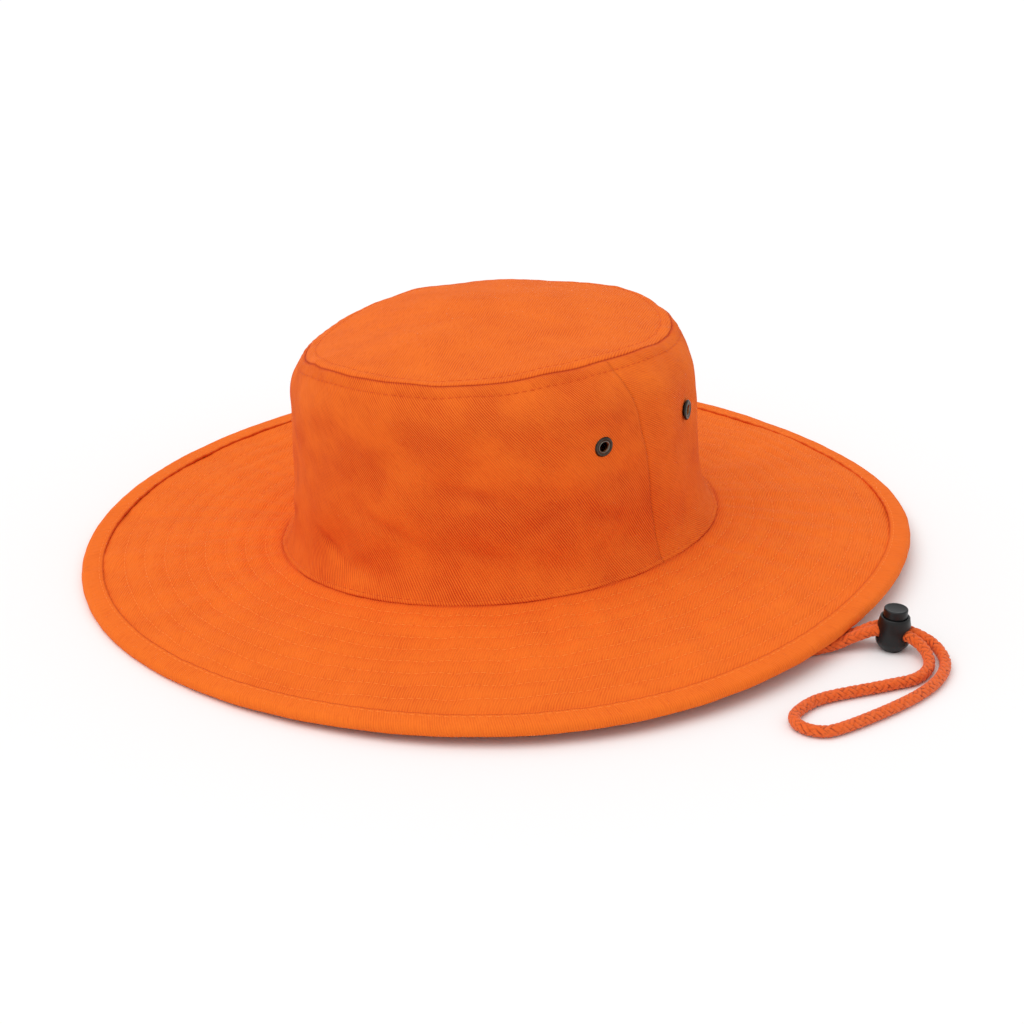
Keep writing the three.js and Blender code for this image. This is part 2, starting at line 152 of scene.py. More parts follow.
class HatClothSettings(bpy.types.PropertyGroup):
    """Colours and sewing of the cloth."""

    colour: colour_property("Cloth colour", "Face of the twill", (0.95, 0.186, 0.018))
    # The furrow colour is painted shade: the twill darkens towards it in its furrows, creases, dents and clouds.
    shade: colour_property("Furrow colour", "Between the twill's ribs", (0.60, 0.058, 0.009))
    thread: colour_property("Thread colour", "Sewing thread of the brim", (1.0, 0.285, 0.045))
    # The crown's thread colour is painted shade: dark like the shaded holes of its stitches.
    crown_thread_painted_shade: colour_property("Crown thread colour", "Sewing thread of the crown", (0.66, 0.085, 0.010))
    rib: size_property("Twill rib", "Distance from one rib of the twill to the next", 0.95)
    crown_cloth: size_property("Crown cloth", "Thickness of the crown's wall", 1.4)
    brim_cloth: size_property("Brim cloth", "Thickness of each ply of the brim", 1.2)
    binding_cloth: size_property("Binding cloth", "Thickness of the folded strip", 1.0)
    binding_width: size_property("Binding width", "Width of the strip on each face of the brim", 9.5)
    stitch_pitch: size_property("Stitch pitch", "Distance from one stitch to the next", 3.3)
    stitch_length: size_property("Stitch length", "Length of thread that shows in a stitch", 2.6)
    thread_width: size_property("Thread width", "Diameter of the sewing thread", 0.38)
    first_row: size_property("First row", "From the crown's foot to the brim's first row of stitches", 7.0)
    row_gap: size_property("Row gap", "From one row of stitches on the brim to the next", 8.6)
    rows: IntProperty(name="Rows", description="Rows of stitches on the brim", default=8, min=0)
    quilting: size_property("Quilting", "Rise of the brim's cloth between its rows", 0.7)
    tip_stitch: size_property("Tip stitch", "From the tip's seam to the row beside it", 5.3)
    foot_stitch: size_property("Foot stitch", "From the foot's edge to the row above it", 2.3)


class HatCordSettings(bpy.types.PropertyGroup):
    """Colours and make of the chin strap."""

    colour: colour_property("Cord colour", "Face of the braid", (0.84, 0.125, 0.012))
    # The fleck colour is painted shade in the gaps between the yarns, and also the colour of fine dark fibre
    # flecks.
    gap_shade_and_fleck: colour_property("Fleck colour", "Gaps between the yarns", (0.16, 0.008, 0.004))
    diameter: size_property("Diameter", "Diameter of the cord", 4.6)
    yarns: IntProperty(name="Yarns", description="Yarns that run round each way", default=5, min=3)
    crossing: size_property("Crossing", "Distance along the cord between two crossings", 2.7)
    relief: size_property("Relief", "Height of a yarn over the gaps beside it", 0.5)


class HatFittingSettings(bpy.types.PropertyGroup):
    """Colours and sizes of the eyelets and the cord lock."""

    metal: colour_property("Metal colour", "Dark plating of the eyelets", (0.040, 0.034, 0.028))
    worn_metal: colour_property("Worn metal colour", "Rubbed ridges of the eyelets", (0.36, 0.33, 0.27))
    # The bore colour is a painted reflection of the dim orange cloth, not the metal's own colour.
    bore_painted_reflection: colour_property("Bore colour", "Inside of the eyelets' holes", (0.30, 0.10, 0.03))
    plastic: colour_property("Plastic colour", "Moulded plastic of the lock", (0.003, 0.003, 0.0033))
    eyelet_radius: size_property("Eyelet radius", "Outside of an eyelet's flange", 4.3)
    eyelet_hole: size_property("Eyelet hole", "Radius of an eyelet's hole", 1.9)
    lock_radius: size_property("Lock radius", "Widest radius of the lock's body", 7.0)
    lock_height: size_property("Lock height", "Height of the lock's body", 14.4)
    cap_radius: size_property("Cap radius", "Radius of the push button", 4.9)
    cap_stand: size_property("Cap stand", "Height of the push button over the body", 3.5)


class HatStageSettings(bpy.types.PropertyGroup):
    """Floor and light."""

    floor: colour_property("Floor colour", "Plain floor", (0.95, 0.95, 0.95))
    floor_side: size_property("Floor side", "Length of the floor's side", 14000)


# Reading the frame


def joined_tree(names):
    """A search tree of the frame's nodes with these names."""
    corners = []
    faces = []
    for name in names:
        mesh = frame["nodes"][name].data
        start = len(corners)
        corners += [vertex.co.copy() for vertex in mesh.vertices]
        faces += [[start + index for index in face.vertices] for face in mesh.polygons]
    return BVHTree.FromPolygons(corners, faces)


def reading_angles():
    return np.arange(READ_COLUMNS) * TURN / READ_COLUMNS


def filled(values):
    """The same ring of values, with those that no ray found worked out from their neighbours."""
    found = np.isfinite(values)
    places = np.arange(len(values))
    return np.interp(places, places[found], values[found], period=len(values))


def smoothed(values, waves):
    """The same ring of values without waves shorter than the frame's facets."""
    spectrum = np.fft.rfft(filled(values))
    spectrum[waves + 1 :] = 0
    return np.fft.irfft(spectrum, len(values))


def last_hit(test, inside, outside):
    """The furthest value between inside and outside for which the test holds."""
    for _ in range(16):
        middle = (inside + outside) / 2
        if test(middle):
            inside = middle
        else:
            outside = middle
    return inside


def wall_radius(tree, angle, height):
    """Distance of the wall's outside from the hat's middle, or not a number where no wall is met."""
    reach = 0.15
    out = Vector((math.cos(angle), math.sin(angle), 0))
    start = out * reach + Vector((0, 0, height))
    place = tree.ray_cast(start, -out, reach - 0.04)[0]
    return math.nan if place is None else math.hypot(place.x, place.y)


def cloth_height(tree, angle, radius, from_above, middle=(0, 0)):
    """Height of a sheet's upper or lower face, or not a number where no cloth is met."""
    far = 0.3
    start = Vector((middle[0] + radius * math.cos(angle), middle[1] + radius * math.sin(angle), 0))
    start.z = far if from_above else -far
    place = tree.ray_cast(start, Vector((0, 0, -1 if from_above else 1)))[0]
    return math.nan if place is None else place.z


def inside_edges(rows):
    return [min(max(row, EDGE_SHARE), 1 - EDGE_SHARE) for row in rows]


def spline_weights(rows, shares):
    """Weights that turn values at the rows into values at the shares along a smooth natural spline."""
    rows = np.asarray(rows, float)
    gaps = np.diff(rows)
    count = len(rows)
    system = np.zeros((count, count))
    right = np.zeros((count, count))
    system[0, 0] = system[-1, -1] = 1
    for i in range(1, count - 1):
        system[i, i - 1 : i + 2] = gaps[i - 1], 2 * (gaps[i - 1] + gaps[i]), gaps[i]
        right[i, i - 1 : i + 2] = 6 / gaps[i - 1], -6 / gaps[i - 1] - 6 / gaps[i], 6 / gaps[i]
    bends = np.linalg.solve(system, right)
    weights = np.zeros((len(shares), count))
    for j, share in enumerate(shares):
        i = int(np.clip(np.searchsorted(rows, share) - 1, 0, count - 2))
        low = (rows[i + 1] - share) / gaps[i]
        high = 1 - low
        weights[j, i] += low
        weights[j, i + 1] += high
        weights[j] += ((low**3 - low) * bends[i] + (high**3 - high) * bends[i + 1]) * gaps[i] ** 2 / 6
    return weights


def round_ring(ring, angles):
    """Values of a ring at any angles."""
    return np.interp(angles, reading_angles(), ring, period=TURN)


class Wall:
    """The outside of the crown's wall, read from the frame."""

    def __init__(self):
        tree = joined_tree(["crown_side_front", "crown_side_back"])
        middle = 0.05
        foot, top = [], []
        for angle in reading_angles():
            met = lambda height: math.isfinite(wall_radius(tree, angle, height))
            foot.append(last_hit(met, middle, 0) if met(middle) else math.nan)
            top.append(last_hit(met, middle, 0.13) if met(middle) else math.nan)
        self.foot = smoothed(np.array(foot), BRIM_WAVES)
        self.top = smoothed(np.array(top), BRIM_WAVES)
        radii = []
        for row in inside_edges(WALL_ROWS):
            heights = self.foot + row * (self.top - self.foot)
            ring = [wall_radius(tree, angle, height) for angle, height in zip(reading_angles(), heights)]
            radii.append(smoothed(np.array(ring), WALL_WAVES))
        self.radii = np.array(radii)
        self.seams = [self.read_seam(start) for start in (0, math.pi)]

    def read_seam(self, start):
        """How the seam near this angle drifts round with the height, as a polynomial of the share."""
        back = joined_tree(["crown_side_back"])
        shares = np.linspace(0.04, 0.96, 12)
        places = []
        for share in shares:
            height = float(np.interp(start, reading_angles(), self.foot + share * (self.top - self.foot)))
            side = 1 if start == 0 else -1
            met = lambda angle: math.isfinite(wall_radius(back, angle, height))
            places.append(last_hit(met, start + side * 0.35, start - side * 0.35))
        return np.polyfit(shares, places, 2)

    def stand_on(self, ply):
        """Lowers the wall's foot onto the brim, so that no gap shows under it."""
        heights = (spline_weights(BRIM_ROWS, [0.065]) @ ply.heights)[0]
        self.drop = smoothed(self.foot - heights + 0.2 * MM, BRIM_WAVES)

    def points(self, angles, shares):
        """Places on the wall for a grid of angles, with one share for each of its rows."""
        rings = spline_weights(WALL_ROWS, shares) @ self.radii
        radii = np.array([round_ring(ring, row) for ring, row in zip(rings, angles)])
        foot = round_ring(self.foot, angles)
        top = round_ring(self.top, angles)
        shares = np.asarray(shares)[:, None]
        heights = foot + shares * (top - foot)
        heights -= round_ring(self.drop, angles) * np.clip(1 - shares / 0.09, 0, 1) ** 2
        return np.stack([radii * np.cos(angles), radii * np.sin(angles), heights], -1)


class Tip:
    """The outside of the crown's tip, read from the frame inside the wall's upper edge."""

    def __init__(self, wall):
        low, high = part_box("crown_tip")
        self.middle = ((low + high) / 2).to_2d()
        tree = joined_tree(["crown_tip"])
        rim = wall.points(reading_angles()[None, :], [1.0])[0]
        self.rim = rim[:, :2] - np.array(self.middle)
        heights = [rim[:, 2]]
        for row in inside_edges(TIP_ROWS)[1:]:
            ring = []
            for x, y in self.rim * (1 - row):
                ring.append(
                    cloth_height(tree, math.atan2(y, x), math.hypot(x, y), True, self.middle)
                )
            heights.append(smoothed(np.array(ring), BRIM_WAVES))
        heights[-1][:] = heights[-1].mean()
        self.heights = np.array(heights)

    def points(self, angles, shares):
        rings = spline_weights(TIP_ROWS, shares) @ self.heights
        heights = np.array([round_ring(ring, row) for ring, row in zip(rings, angles)])
        inward = 1 - np.asarray(shares)[:, None]
        x = self.middle[0] + inward * round_ring(self.rim[:, 0], angles)
        y = self.middle[1] + inward * round_ring(self.rim[:, 1], angles)
        return np.stack([x, y, heights], -1)


class Ply:
    """The outer face of one ply of the brim, read from the frame from its inner edge to its outer one."""

    def __init__(self, node, from_above):
        tree = joined_tree([node])
        middle = 0.13
        inner, outer = [], []
        for angle in reading_angles():
            met = lambda radius: math.isfinite(cloth_height(tree, angle, radius, from_above))
            inner.append(last_hit(met, middle, 0.03))
            outer.append(last_hit(met, middle, 0.23))
        self.inner = smoothed(np.array(inner), BRIM_WAVES)
        self.outer = smoothed(np.array(outer), BRIM_WAVES)
        heights = []
        for row in inside_edges(BRIM_ROWS):
            radii = self.inner + row * (self.outer - self.inner)
            ring = [cloth_height(tree, a, r, from_above) for a, r in zip(reading_angles(), radii)]
            heights.append(smoothed(np.array(ring), BRIM_WAVES))
        self.heights = np.array(heights)

    def points(self, angles, shares):
        rings = spline_weights(BRIM_ROWS, shares) @ self.heights
        heights = np.array([round_ring(ring, row) for ring, row in zip(rings, angles)])
        inner = round_ring(self.inner, angles)
        radii = inner + np.asarray(shares)[:, None] * (round_ring(self.outer, angles) - inner)
        return np.stack([radii * np.cos(angles), radii * np.sin(angles), heights], -1)


# Working on grids of points


def grid_normals(points, is_ring):
    """Unit normals of a grid of rows and columns."""
    if is_ring:
        ahead = np.roll(points[:, :-1], -1, 1) - np.roll(points[:, :-1], 1, 1)
        along = np.concatenate([ahead, ahead[:, :1]], 1)
    else:
        along = np.gradient(points, axis=1)
    up = np.gradient(points, axis=0)
    normals = np.cross(along, up)
    return normals / np.maximum(np.linalg.norm(normals, axis=-1, keepdims=True), 1e-12)


def distances(points, axis):
    """Running length of the grid's rows or columns, in metres."""
    steps = np.linalg.norm(np.diff(points, axis=axis), axis=-1)
    start = np.zeros_like(np.take(steps, [0], axis=axis))
    return np.concatenate([start, np.cumsum(steps, axis=axis)], axis)


def soft_noise(points, size, seed, waves=18):
    """Smooth noise of about one unit, with bumps of about this size, the same in each run."""
    random = np.random.default_rng(seed)
    directions = random.normal(size=(waves, 3))
    directions /= np.linalg.norm(directions, axis=1, keepdims=True)
    lengths = size * random.uniform(1.2, 3.0, waves)
    phases = random.uniform(0, TURN, waves)
    total = np.zeros(points.shape[:-1])
    for direction, length, phase in zip(directions, lengths, phases):
        total += np.sin(points @ direction * (TURN / length) + phase)
    return total / math.sqrt(waves / 2) / 1.6


def beside(distance, width):
    """1 on a line and less with the distance from it."""
    return np.exp(-((distance / width) ** 2))


def ring_angles(columns):
    return np.linspace(0, TURN, columns + 1)


def ring_run(angles, length, wave):
    """Distance round a ring of about this length, stretched so that whole waves fit in a turn."""
    return angles / TURN * max(1, round(length / wave)) * wave


# Making objects


def deselect_all():
    if bpy.context.mode != "OBJECT":
        bpy.ops.object.mode_set(mode="OBJECT")
    bpy.ops.object.select_all(action="DESELECT")


def make_active(piece):
    deselect_all()
    piece.select_set(True)
    bpy.context.view_layer.objects.active = piece


def apply_modifier(piece, kind, **values):
    """Adds a modifier with these values and applies it."""
    make_active(piece)
    bpy.ops.object.modifier_add(type=kind)
    modifier = piece.modifiers[-1]
    for name, value in values.items():
        setattr(modifier, name, value)
    bpy.ops.object.modifier_apply(modifier=modifier.name)


def edit_all(piece, *steps):
    """Runs edit-mode steps on the whole mesh."""
    make_active(piece)
    bpy.ops.object.mode_set(mode="EDIT")
    bpy.ops.mesh.select_all(action="SELECT")
    for step in steps:
        step()
    bpy.ops.object.mode_set(mode="OBJECT")


def merge_doubles(threshold=0.01 * MM):
    bpy.ops.mesh.select_all(action="SELECT")
    bpy.ops.mesh.remove_doubles(threshold=threshold)


def face_outwards():
    bpy.ops.mesh.select_all(action="SELECT")
    bpy.ops.mesh.normals_make_consistent(inside=False)


def shade_smooth(piece, angle=None):
    make_active(piece)
    if angle is None:
        bpy.ops.object.shade_smooth()
    else:
        bpy.ops.object.shade_smooth_by_angle(angle=math.radians(angle))


def set_attribute(mesh, name, values):
    layer = mesh.attributes.new(name, "FLOAT", "POINT")
    layer.data.foreach_set("value", np.asarray(values, np.float32).reshape(-1))


def sheet_of(name, points, pattern, painted_shade_and_wear=None):
    """A grid whose corners are moved onto rows and columns of points. The pattern is the cloth's own
    millimetres, kept as the UV map, and the last values are painted shade, which darkens the material more
    the deeper a corner lies in a crease, dent or gap."""
    rows, columns = points.shape[:2]
    deselect_all()
    bpy.ops.mesh.primitive_grid_add(x_subdivisions=columns - 1, y_subdivisions=rows - 1, size=1)
    sheet = bpy.context.object
    sheet.name = name
    sheet.data.name = name
    mesh = sheet.data
    mesh.vertices.foreach_set("co", points.astype(np.float32).reshape(-1))
    corners = np.empty(len(mesh.loops), int)
    mesh.loops.foreach_get("vertex_index", corners)
    layer = mesh.uv_layers.active
    layer.data.foreach_set("uv", pattern.reshape(-1, 2)[corners].astype(np.float32).reshape(-1))
    set_attribute(mesh, "painted_shade_and_wear", np.zeros(points.shape[:2]) if painted_shade_and_wear is None else painted_shade_and_wear)
    mesh.update()
    edit_all(sheet, merge_doubles)
    return sheet


def thicken(sheet, thickness):
    """Gives a sheet its thickness on the side away from its faces, with closed edges."""
    apply_modifier(sheet, "SOLIDIFY", thickness=thickness, offset=-1, use_even_offset=False, use_rim=True)
    shade_smooth(sheet)


def dress(piece, body, material, nodes=()):
    """Gives a piece its material and its place in the frame."""
    piece.data.materials.clear()
    piece.data.materials.append(material)
    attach(piece, body)
    if nodes:
        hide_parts(*nodes)
    return piece


def moved_copies(name, template, places, axes):
    """One mesh of many copies of a small template, each with its own place and three axes."""
    corners = np.array([vertex.co for vertex in template.data.vertices])
    faces = [list(face.vertices) for face in template.data.polygons]
    all_corners = np.einsum("vk,nkj->nvj", corners, axes) + places[:, None, :]
    all_corners[..., 2] = np.maximum(all_corners[..., 2], 0.03 * MM)
    count = len(corners)
    all_faces = [[index + n * count for index in face] for n in range(len(places)) for face in faces]
    mesh = bpy.data.meshes.new(name)
    mesh.from_pydata(all_corners.reshape(-1, 3).tolist(), [], all_faces)
    mesh.update()
    copies = bpy.data.objects.new(name, mesh)
    bpy.context.scene.collection.objects.link(copies)
    return copies


def one_stitch(length, width):
    """A short length of thread whose two ends dip into the cloth."""
    deselect_all()
    bpy.ops.mesh.primitive_uv_sphere_add(segments=6, ring_count=5, radius=0.5, rotation=(0, math.pi / 2, 0))
    stitch = bpy.context.object
    bpy.ops.object.transform_apply(location=True, rotation=True, scale=True)
    stitch.scale = (length, width, width)
    bpy.ops.object.transform_apply(location=True, rotation=True, scale=True)
    for vertex in stitch.data.vertices:
        vertex.co.z -= 0.35 * width * (2 * vertex.co.x / length) ** 2
    return stitch


def stitch_rows(name, rows, settings):
    """Stitches along rows of points. Each row is a pair of grids of one row: places and normals."""
    stitch = one_stitch(settings.stitch_length, settings.thread_width)
    places, axes = [], []
    for path, facing in rows:
        run = distances(path[None], 1)[0]
        count = max(2, round(run[-1] / settings.stitch_pitch))
        at = (np.arange(count) + 0.5) * run[-1] / count
        centre = np.stack([np.interp(at, run, path[:, k]) for k in range(3)], -1)
        up = np.stack([np.interp(at, run, facing[:, k]) for k in range(3)], -1)
        up /= np.linalg.norm(up, axis=1, keepdims=True)
        ahead = np.stack([np.interp(at + 1e-4, run, path[:, k]) for k in range(3)], -1)
        ahead -= np.stack([np.interp(at - 1e-4, run, path[:, k]) for k in range(3)], -1)
        ahead -= up * np.sum(ahead * up, 1, keepdims=True)
        ahead /= np.linalg.norm(ahead, axis=1, keepdims=True)
        across = np.cross(up, ahead)
        places.append(centre + up * settings.thread_width * 0.12)
        axes.append(np.stack([ahead, across, up], 1))
    copies = moved_copies(name, stitch, np.concatenate(places), np.concatenate(axes))
    bpy.data.objects.remove(stitch)
    shade_smooth(copies)
    return copies


# Materials


def new_group(name, inputs, outputs):
    """A shader node group with its sockets, and its two end nodes."""
    group = bpy.data.node_groups.new(name, "ShaderNodeTree")
    for label, kind, value in inputs:
        socket = group.interface.new_socket(label, in_out="INPUT", socket_type=kind)
        if value is not None:
            socket.default_value = value
    for label, kind in outputs:
        group.interface.new_socket(label, in_out="OUTPUT", socket_type=kind)
    start = group.nodes.new("NodeGroupInput")
    end = group.nodes.new("NodeGroupOutput")
    return group, start, end


class Wires:
    """Short ways to add and join the nodes of one tree."""

    def __init__(self, tree):
        self.tree = tree

    def put(self, socket, value):
        if isinstance(value, bpy.types.NodeSocket):
            self.tree.links.new(value, socket)
        else:
            socket.default_value = value

    def node(self, kind, values=(), **settings):
        node = self.tree.nodes.new(kind)
        for name, value in settings.items():
            setattr(node, name, value)
        for name, value in values:
            self.put(node.inputs[name], value)
        return node

    def math(self, operation, *values):
        return self.node("ShaderNodeMath", list(enumerate(values)), operation=operation).outputs[0]

    def vector(self, operation, *values):
        return self.node("ShaderNodeVectorMath", list(enumerate(values)), operation=operation).outputs[0]

    def noise(self, vector, scale, detail=2.0, roughness=0.5):
        values = [("Vector", vector), ("Scale", scale), ("Detail", detail), ("Roughness", roughness)]
        return self.node("ShaderNodeTexNoise", values).outputs["Fac"]

    def mix(self, share, first, second, blend="MIX"):
        node = self.node("ShaderNodeMix", data_type="RGBA", blend_type=blend)
        self.put(node.inputs[0], share)
        self.put(node.inputs[6], first)
        self.put(node.inputs[7], second)
        return node.outputs[2]

    def span(self, value, low, high, to_low=0.0, to_high=1.0):
        values = [("Value", value), ("From Min", low), ("From Max", high)]
        values += [("To Min", to_low), ("To Max", to_high)]
        return self.node("ShaderNodeMapRange", values).outputs[0]


def twill_group():
    """Twill of slanting ribs made of single threads, with slubs and faint clouds of painted shade. Its colour
    paints shade in the furrows between the ribs and wherever the painted shade input says. The vector is in
    millimetres on the cloth, the angle is that of the ribs."""
    if "twill" in bpy.data.node_groups:
        return bpy.data.node_groups["twill"]
    inputs = [
        ("Vector", "NodeSocketVector", None),
        ("Place", "NodeSocketVector", None),
        ("Rib", "NodeSocketFloat", 0.9),
        ("Angle", "NodeSocketFloat", 1.0),
        ("Painted Shade", "NodeSocketFloat", 0.0),
        ("Contrast", "NodeSocketFloat", 0.7),
        ("Mottled Shade", "NodeSocketFloat", 0.2),
        ("Face", "NodeSocketColor", (1, 1, 1, 1)),
        ("Furrow", "NodeSocketColor", (0, 0, 0, 1)),
    ]
    outputs = [("Color", "NodeSocketColor"), ("Height", "NodeSocketFloat"), ("Roughness", "NodeSocketFloat")]
    group, start, end = new_group("twill", inputs, outputs)
    wires = Wires(group)
    turned = wires.node(
        "ShaderNodeVectorRotate",
        [("Vector", start.outputs["Vector"]), ("Angle", wires.math("MULTIPLY", start.outputs["Angle"], -1.0))],
        rotation_type="Z_AXIS",
    ).outputs[0]
    wobble = wires.noise(turned, 0.11, 1.0)
    parts = wires.node("ShaderNodeSeparateXYZ", [("Vector", turned)])
    along = parts.outputs[0]
    across = wires.math("ADD", parts.outputs[1], wires.math("MULTIPLY", wobble, 1.1))
    turns = wires.math("MULTIPLY", wires.math("DIVIDE", across, start.outputs["Rib"]), TURN)
    rib = wires.math("MULTIPLY_ADD", wires.math("SINE", turns), 0.5, 0.5)
    step = wires.math("MULTIPLY", start.outputs["Rib"], 0.62)
    threads = wires.math("MULTIPLY", wires.math("DIVIDE", along, step), TURN)
    threads = wires.math("ADD", threads, wires.math("MULTIPLY", turns, 0.5))
    thread = wires.math("MULTIPLY_ADD", wires.math("SINE", threads), 0.5, 0.5)
    fade = wires.span(wires.noise(start.outputs["Vector"], 0.045, 3.0), 0.35, 0.7, 0.35, 1.0)
    streak = wires.node(
        "ShaderNodeMapping", [("Vector", turned), ("Scale", (0.16, 1.3, 1.0))], vector_type="POINT"
    ).outputs[0]
    slub = wires.noise(streak, 1.0, 3.0, 0.6)
    height = wires.math("MULTIPLY_ADD", thread, 0.25, rib)
    height = wires.math("MULTIPLY_ADD", slub, 0.5, height)
    # Painted shade in the furrows between the ribs, with slub tone, clouds of painted shade and the painted shade
    # of creases and dents added.
    furrow = wires.math("MULTIPLY", wires.math("SUBTRACT", 1.0, rib), fade)
    furrow = wires.math("MULTIPLY", furrow, start.outputs["Contrast"])
    furrow = wires.math("ADD", furrow, wires.span(slub, 0.5, 0.85, 0.0, 0.4))
    # Soft clouds of painted shade, as strong as the material asks.
    mottled_shade = wires.noise(start.outputs["Place"], 42.0, 4.0, 0.6)
    mottled_shade = wires.math("MULTIPLY", wires.span(mottled_shade, 0.42, 0.75), start.outputs["Mottled Shade"])
    furrow = wires.math("ADD", furrow, mottled_shade)
    # Painted shade from the mesh's attribute, in creases, joins, dents and along stitches.
    furrow = wires.math("ADD", furrow, wires.math("MULTIPLY", start.outputs["Painted Shade"], 0.75))
    furrow = wires.node("ShaderNodeClamp", [("Value", furrow)]).outputs[0]
    colour = wires.mix(furrow, start.outputs["Face"], start.outputs["Furrow"])
    wires.put(end.inputs["Color"], colour)
    wires.put(end.inputs["Height"], height)
    wires.put(end.inputs["Roughness"], wires.span(slub, 0.3, 0.8, 0.82, 0.95))
    return group


def new_material(name):
    material = bpy.data.materials.new(name)
    material.use_nodes = True
    wires = Wires(material.node_tree)
    return material, wires, material.node_tree.nodes["Principled BSDF"]


def cloth_material(name, settings, angle, rib_share=1.0, contrast=0.7, mottled_shade=0.15):
    """Cotton twill whose ribs run at this angle, in degrees, on the piece's own pattern."""
    material, wires, skin = new_material(name)
    pattern = wires.node("ShaderNodeUVMap", uv_map="UVMap").outputs[0]
    place = wires.node("ShaderNodeTexCoord").outputs["Object"]
    painted_shade_and_wear = wires.node("ShaderNodeAttribute", attribute_name="painted_shade_and_wear").outputs["Fac"]
    twill = wires.node("ShaderNodeGroup")
    twill.node_tree = twill_group()
    wires.put(twill.inputs["Vector"], pattern)
    wires.put(twill.inputs["Place"], place)
    wires.put(twill.inputs["Rib"], settings.rib / MM * rib_share)
    wires.put(twill.inputs["Angle"], math.radians(angle))
    # The attribute is painted shade: it darkens creases, joins, dents and rows of stitches.
    wires.put(twill.inputs["Painted Shade"], painted_shade_and_wear)
    wires.put(twill.inputs["Contrast"], contrast)
    # Painted shade: the clouds grow from a third of their strength at 10 cm high to full strength at 5.5 cm and
    # below, nearer the brim.
    height = wires.node("ShaderNodeSeparateXYZ", [("Vector", place)]).outputs["Z"]
    wires.put(twill.inputs["Mottled Shade"], wires.span(height, 0.1, 0.055, 0.35 * mottled_shade, mottled_shade))
    wires.put(twill.inputs["Face"], (*settings.colour, 1))
    wires.put(twill.inputs["Furrow"], (*settings.shade, 1))
    relief = wires.node("ShaderNodeBump", [("Strength", 0.8), ("Distance", 0.16 * MM)])
    wires.put(relief.inputs["Height"], twill.outputs["Height"])
    wires.put(skin.inputs["Base Color"], twill.outputs["Color"])
    wires.put(skin.inputs["Roughness"], twill.outputs["Roughness"])
    wires.put(skin.inputs["Normal"], relief.outputs[0])
    skin.inputs["Specular IOR Level"].default_value = 0.12
    skin.inputs["Sheen Weight"].default_value = 0.04
    skin.inputs["Sheen Roughness"].default_value = 0.5
    skin.inputs["Sheen Tint"].default_value = (1.0, 0.4, 0.15, 1)
    return material


def thread_material(name, colour, settings):
    """Twisted sewing thread."""
    material, wires, skin = new_material(name)
    place = wires.node("ShaderNodeTexCoord").outputs["Object"]
    twist = wires.noise(place, 1800.0, 2.0)
    shade = wires.span(twist, 0.35, 0.75, 0.0, 0.7)
    colour = wires.mix(shade, (*colour, 1), (*settings.colour, 1))
    relief = wires.node("ShaderNodeBump", [("Strength", 0.4), ("Distance", 0.05 * MM)])
    wires.put(relief.inputs["Height"], twist)
    wires.put(skin.inputs["Base Color"], colour)
    wires.put(skin.inputs["Roughness"], wires.span(twist, 0.3, 0.8, 0.55, 0.75))
    wires.put(skin.inputs["Normal"], relief.outputs[0])
    skin.inputs["Specular IOR Level"].default_value = 0.15
    return material


def braid_material(settings):
    """Braided cord: fibres along each yarn and painted shade in the gaps where the yarns cross."""
    material, wires, skin = new_material("cord_braid")
    pattern = wires.node("ShaderNodeUVMap", uv_map="UVMap").outputs[0]
    place = wires.node("ShaderNodeTexCoord").outputs["Object"]
    painted_shade_and_wear = wires.node("ShaderNodeAttribute", attribute_name="painted_shade_and_wear").outputs["Fac"]
    fibres = wires.noise(place, 2600.0, 2.0, 0.6)
    patches = wires.noise(place, 260.0, 2.0, 0.5)
    # Painted shade in the gaps between the yarns, varying in patches, with fine dark fibre flecks added.
    dark = wires.math("MULTIPLY", painted_shade_and_wear, wires.span(patches, 0.42, 0.6, 0.25, 1.0))
    dark = wires.math("ADD", dark, wires.span(fibres, 0.5, 0.8, 0.0, 0.3))
    dark = wires.node("ShaderNodeClamp", [("Value", dark)]).outputs[0]
    wear = wires.mix(wires.span(wires.noise(pattern, 0.35, 2.0), 0.4, 0.7, 0.0, 0.5),
                     (*settings.colour, 1), (0.88, 0.17, 0.035, 1))
    colour = wires.mix(dark, wear, (*settings.gap_shade_and_fleck, 1))
    relief = wires.node("ShaderNodeBump", [("Strength", 0.5), ("Distance", 0.12 * MM)])
    wires.put(relief.inputs["Height"], fibres)
    wires.put(skin.inputs["Base Color"], colour)
    wires.put(skin.inputs["Roughness"], wires.span(fibres, 0.3, 0.8, 0.7, 0.9))
    wires.put(skin.inputs["Normal"], relief.outputs[0])
    skin.inputs["Specular IOR Level"].default_value = 0.3
    skin.inputs["Sheen Weight"].default_value = 0.15
    return material


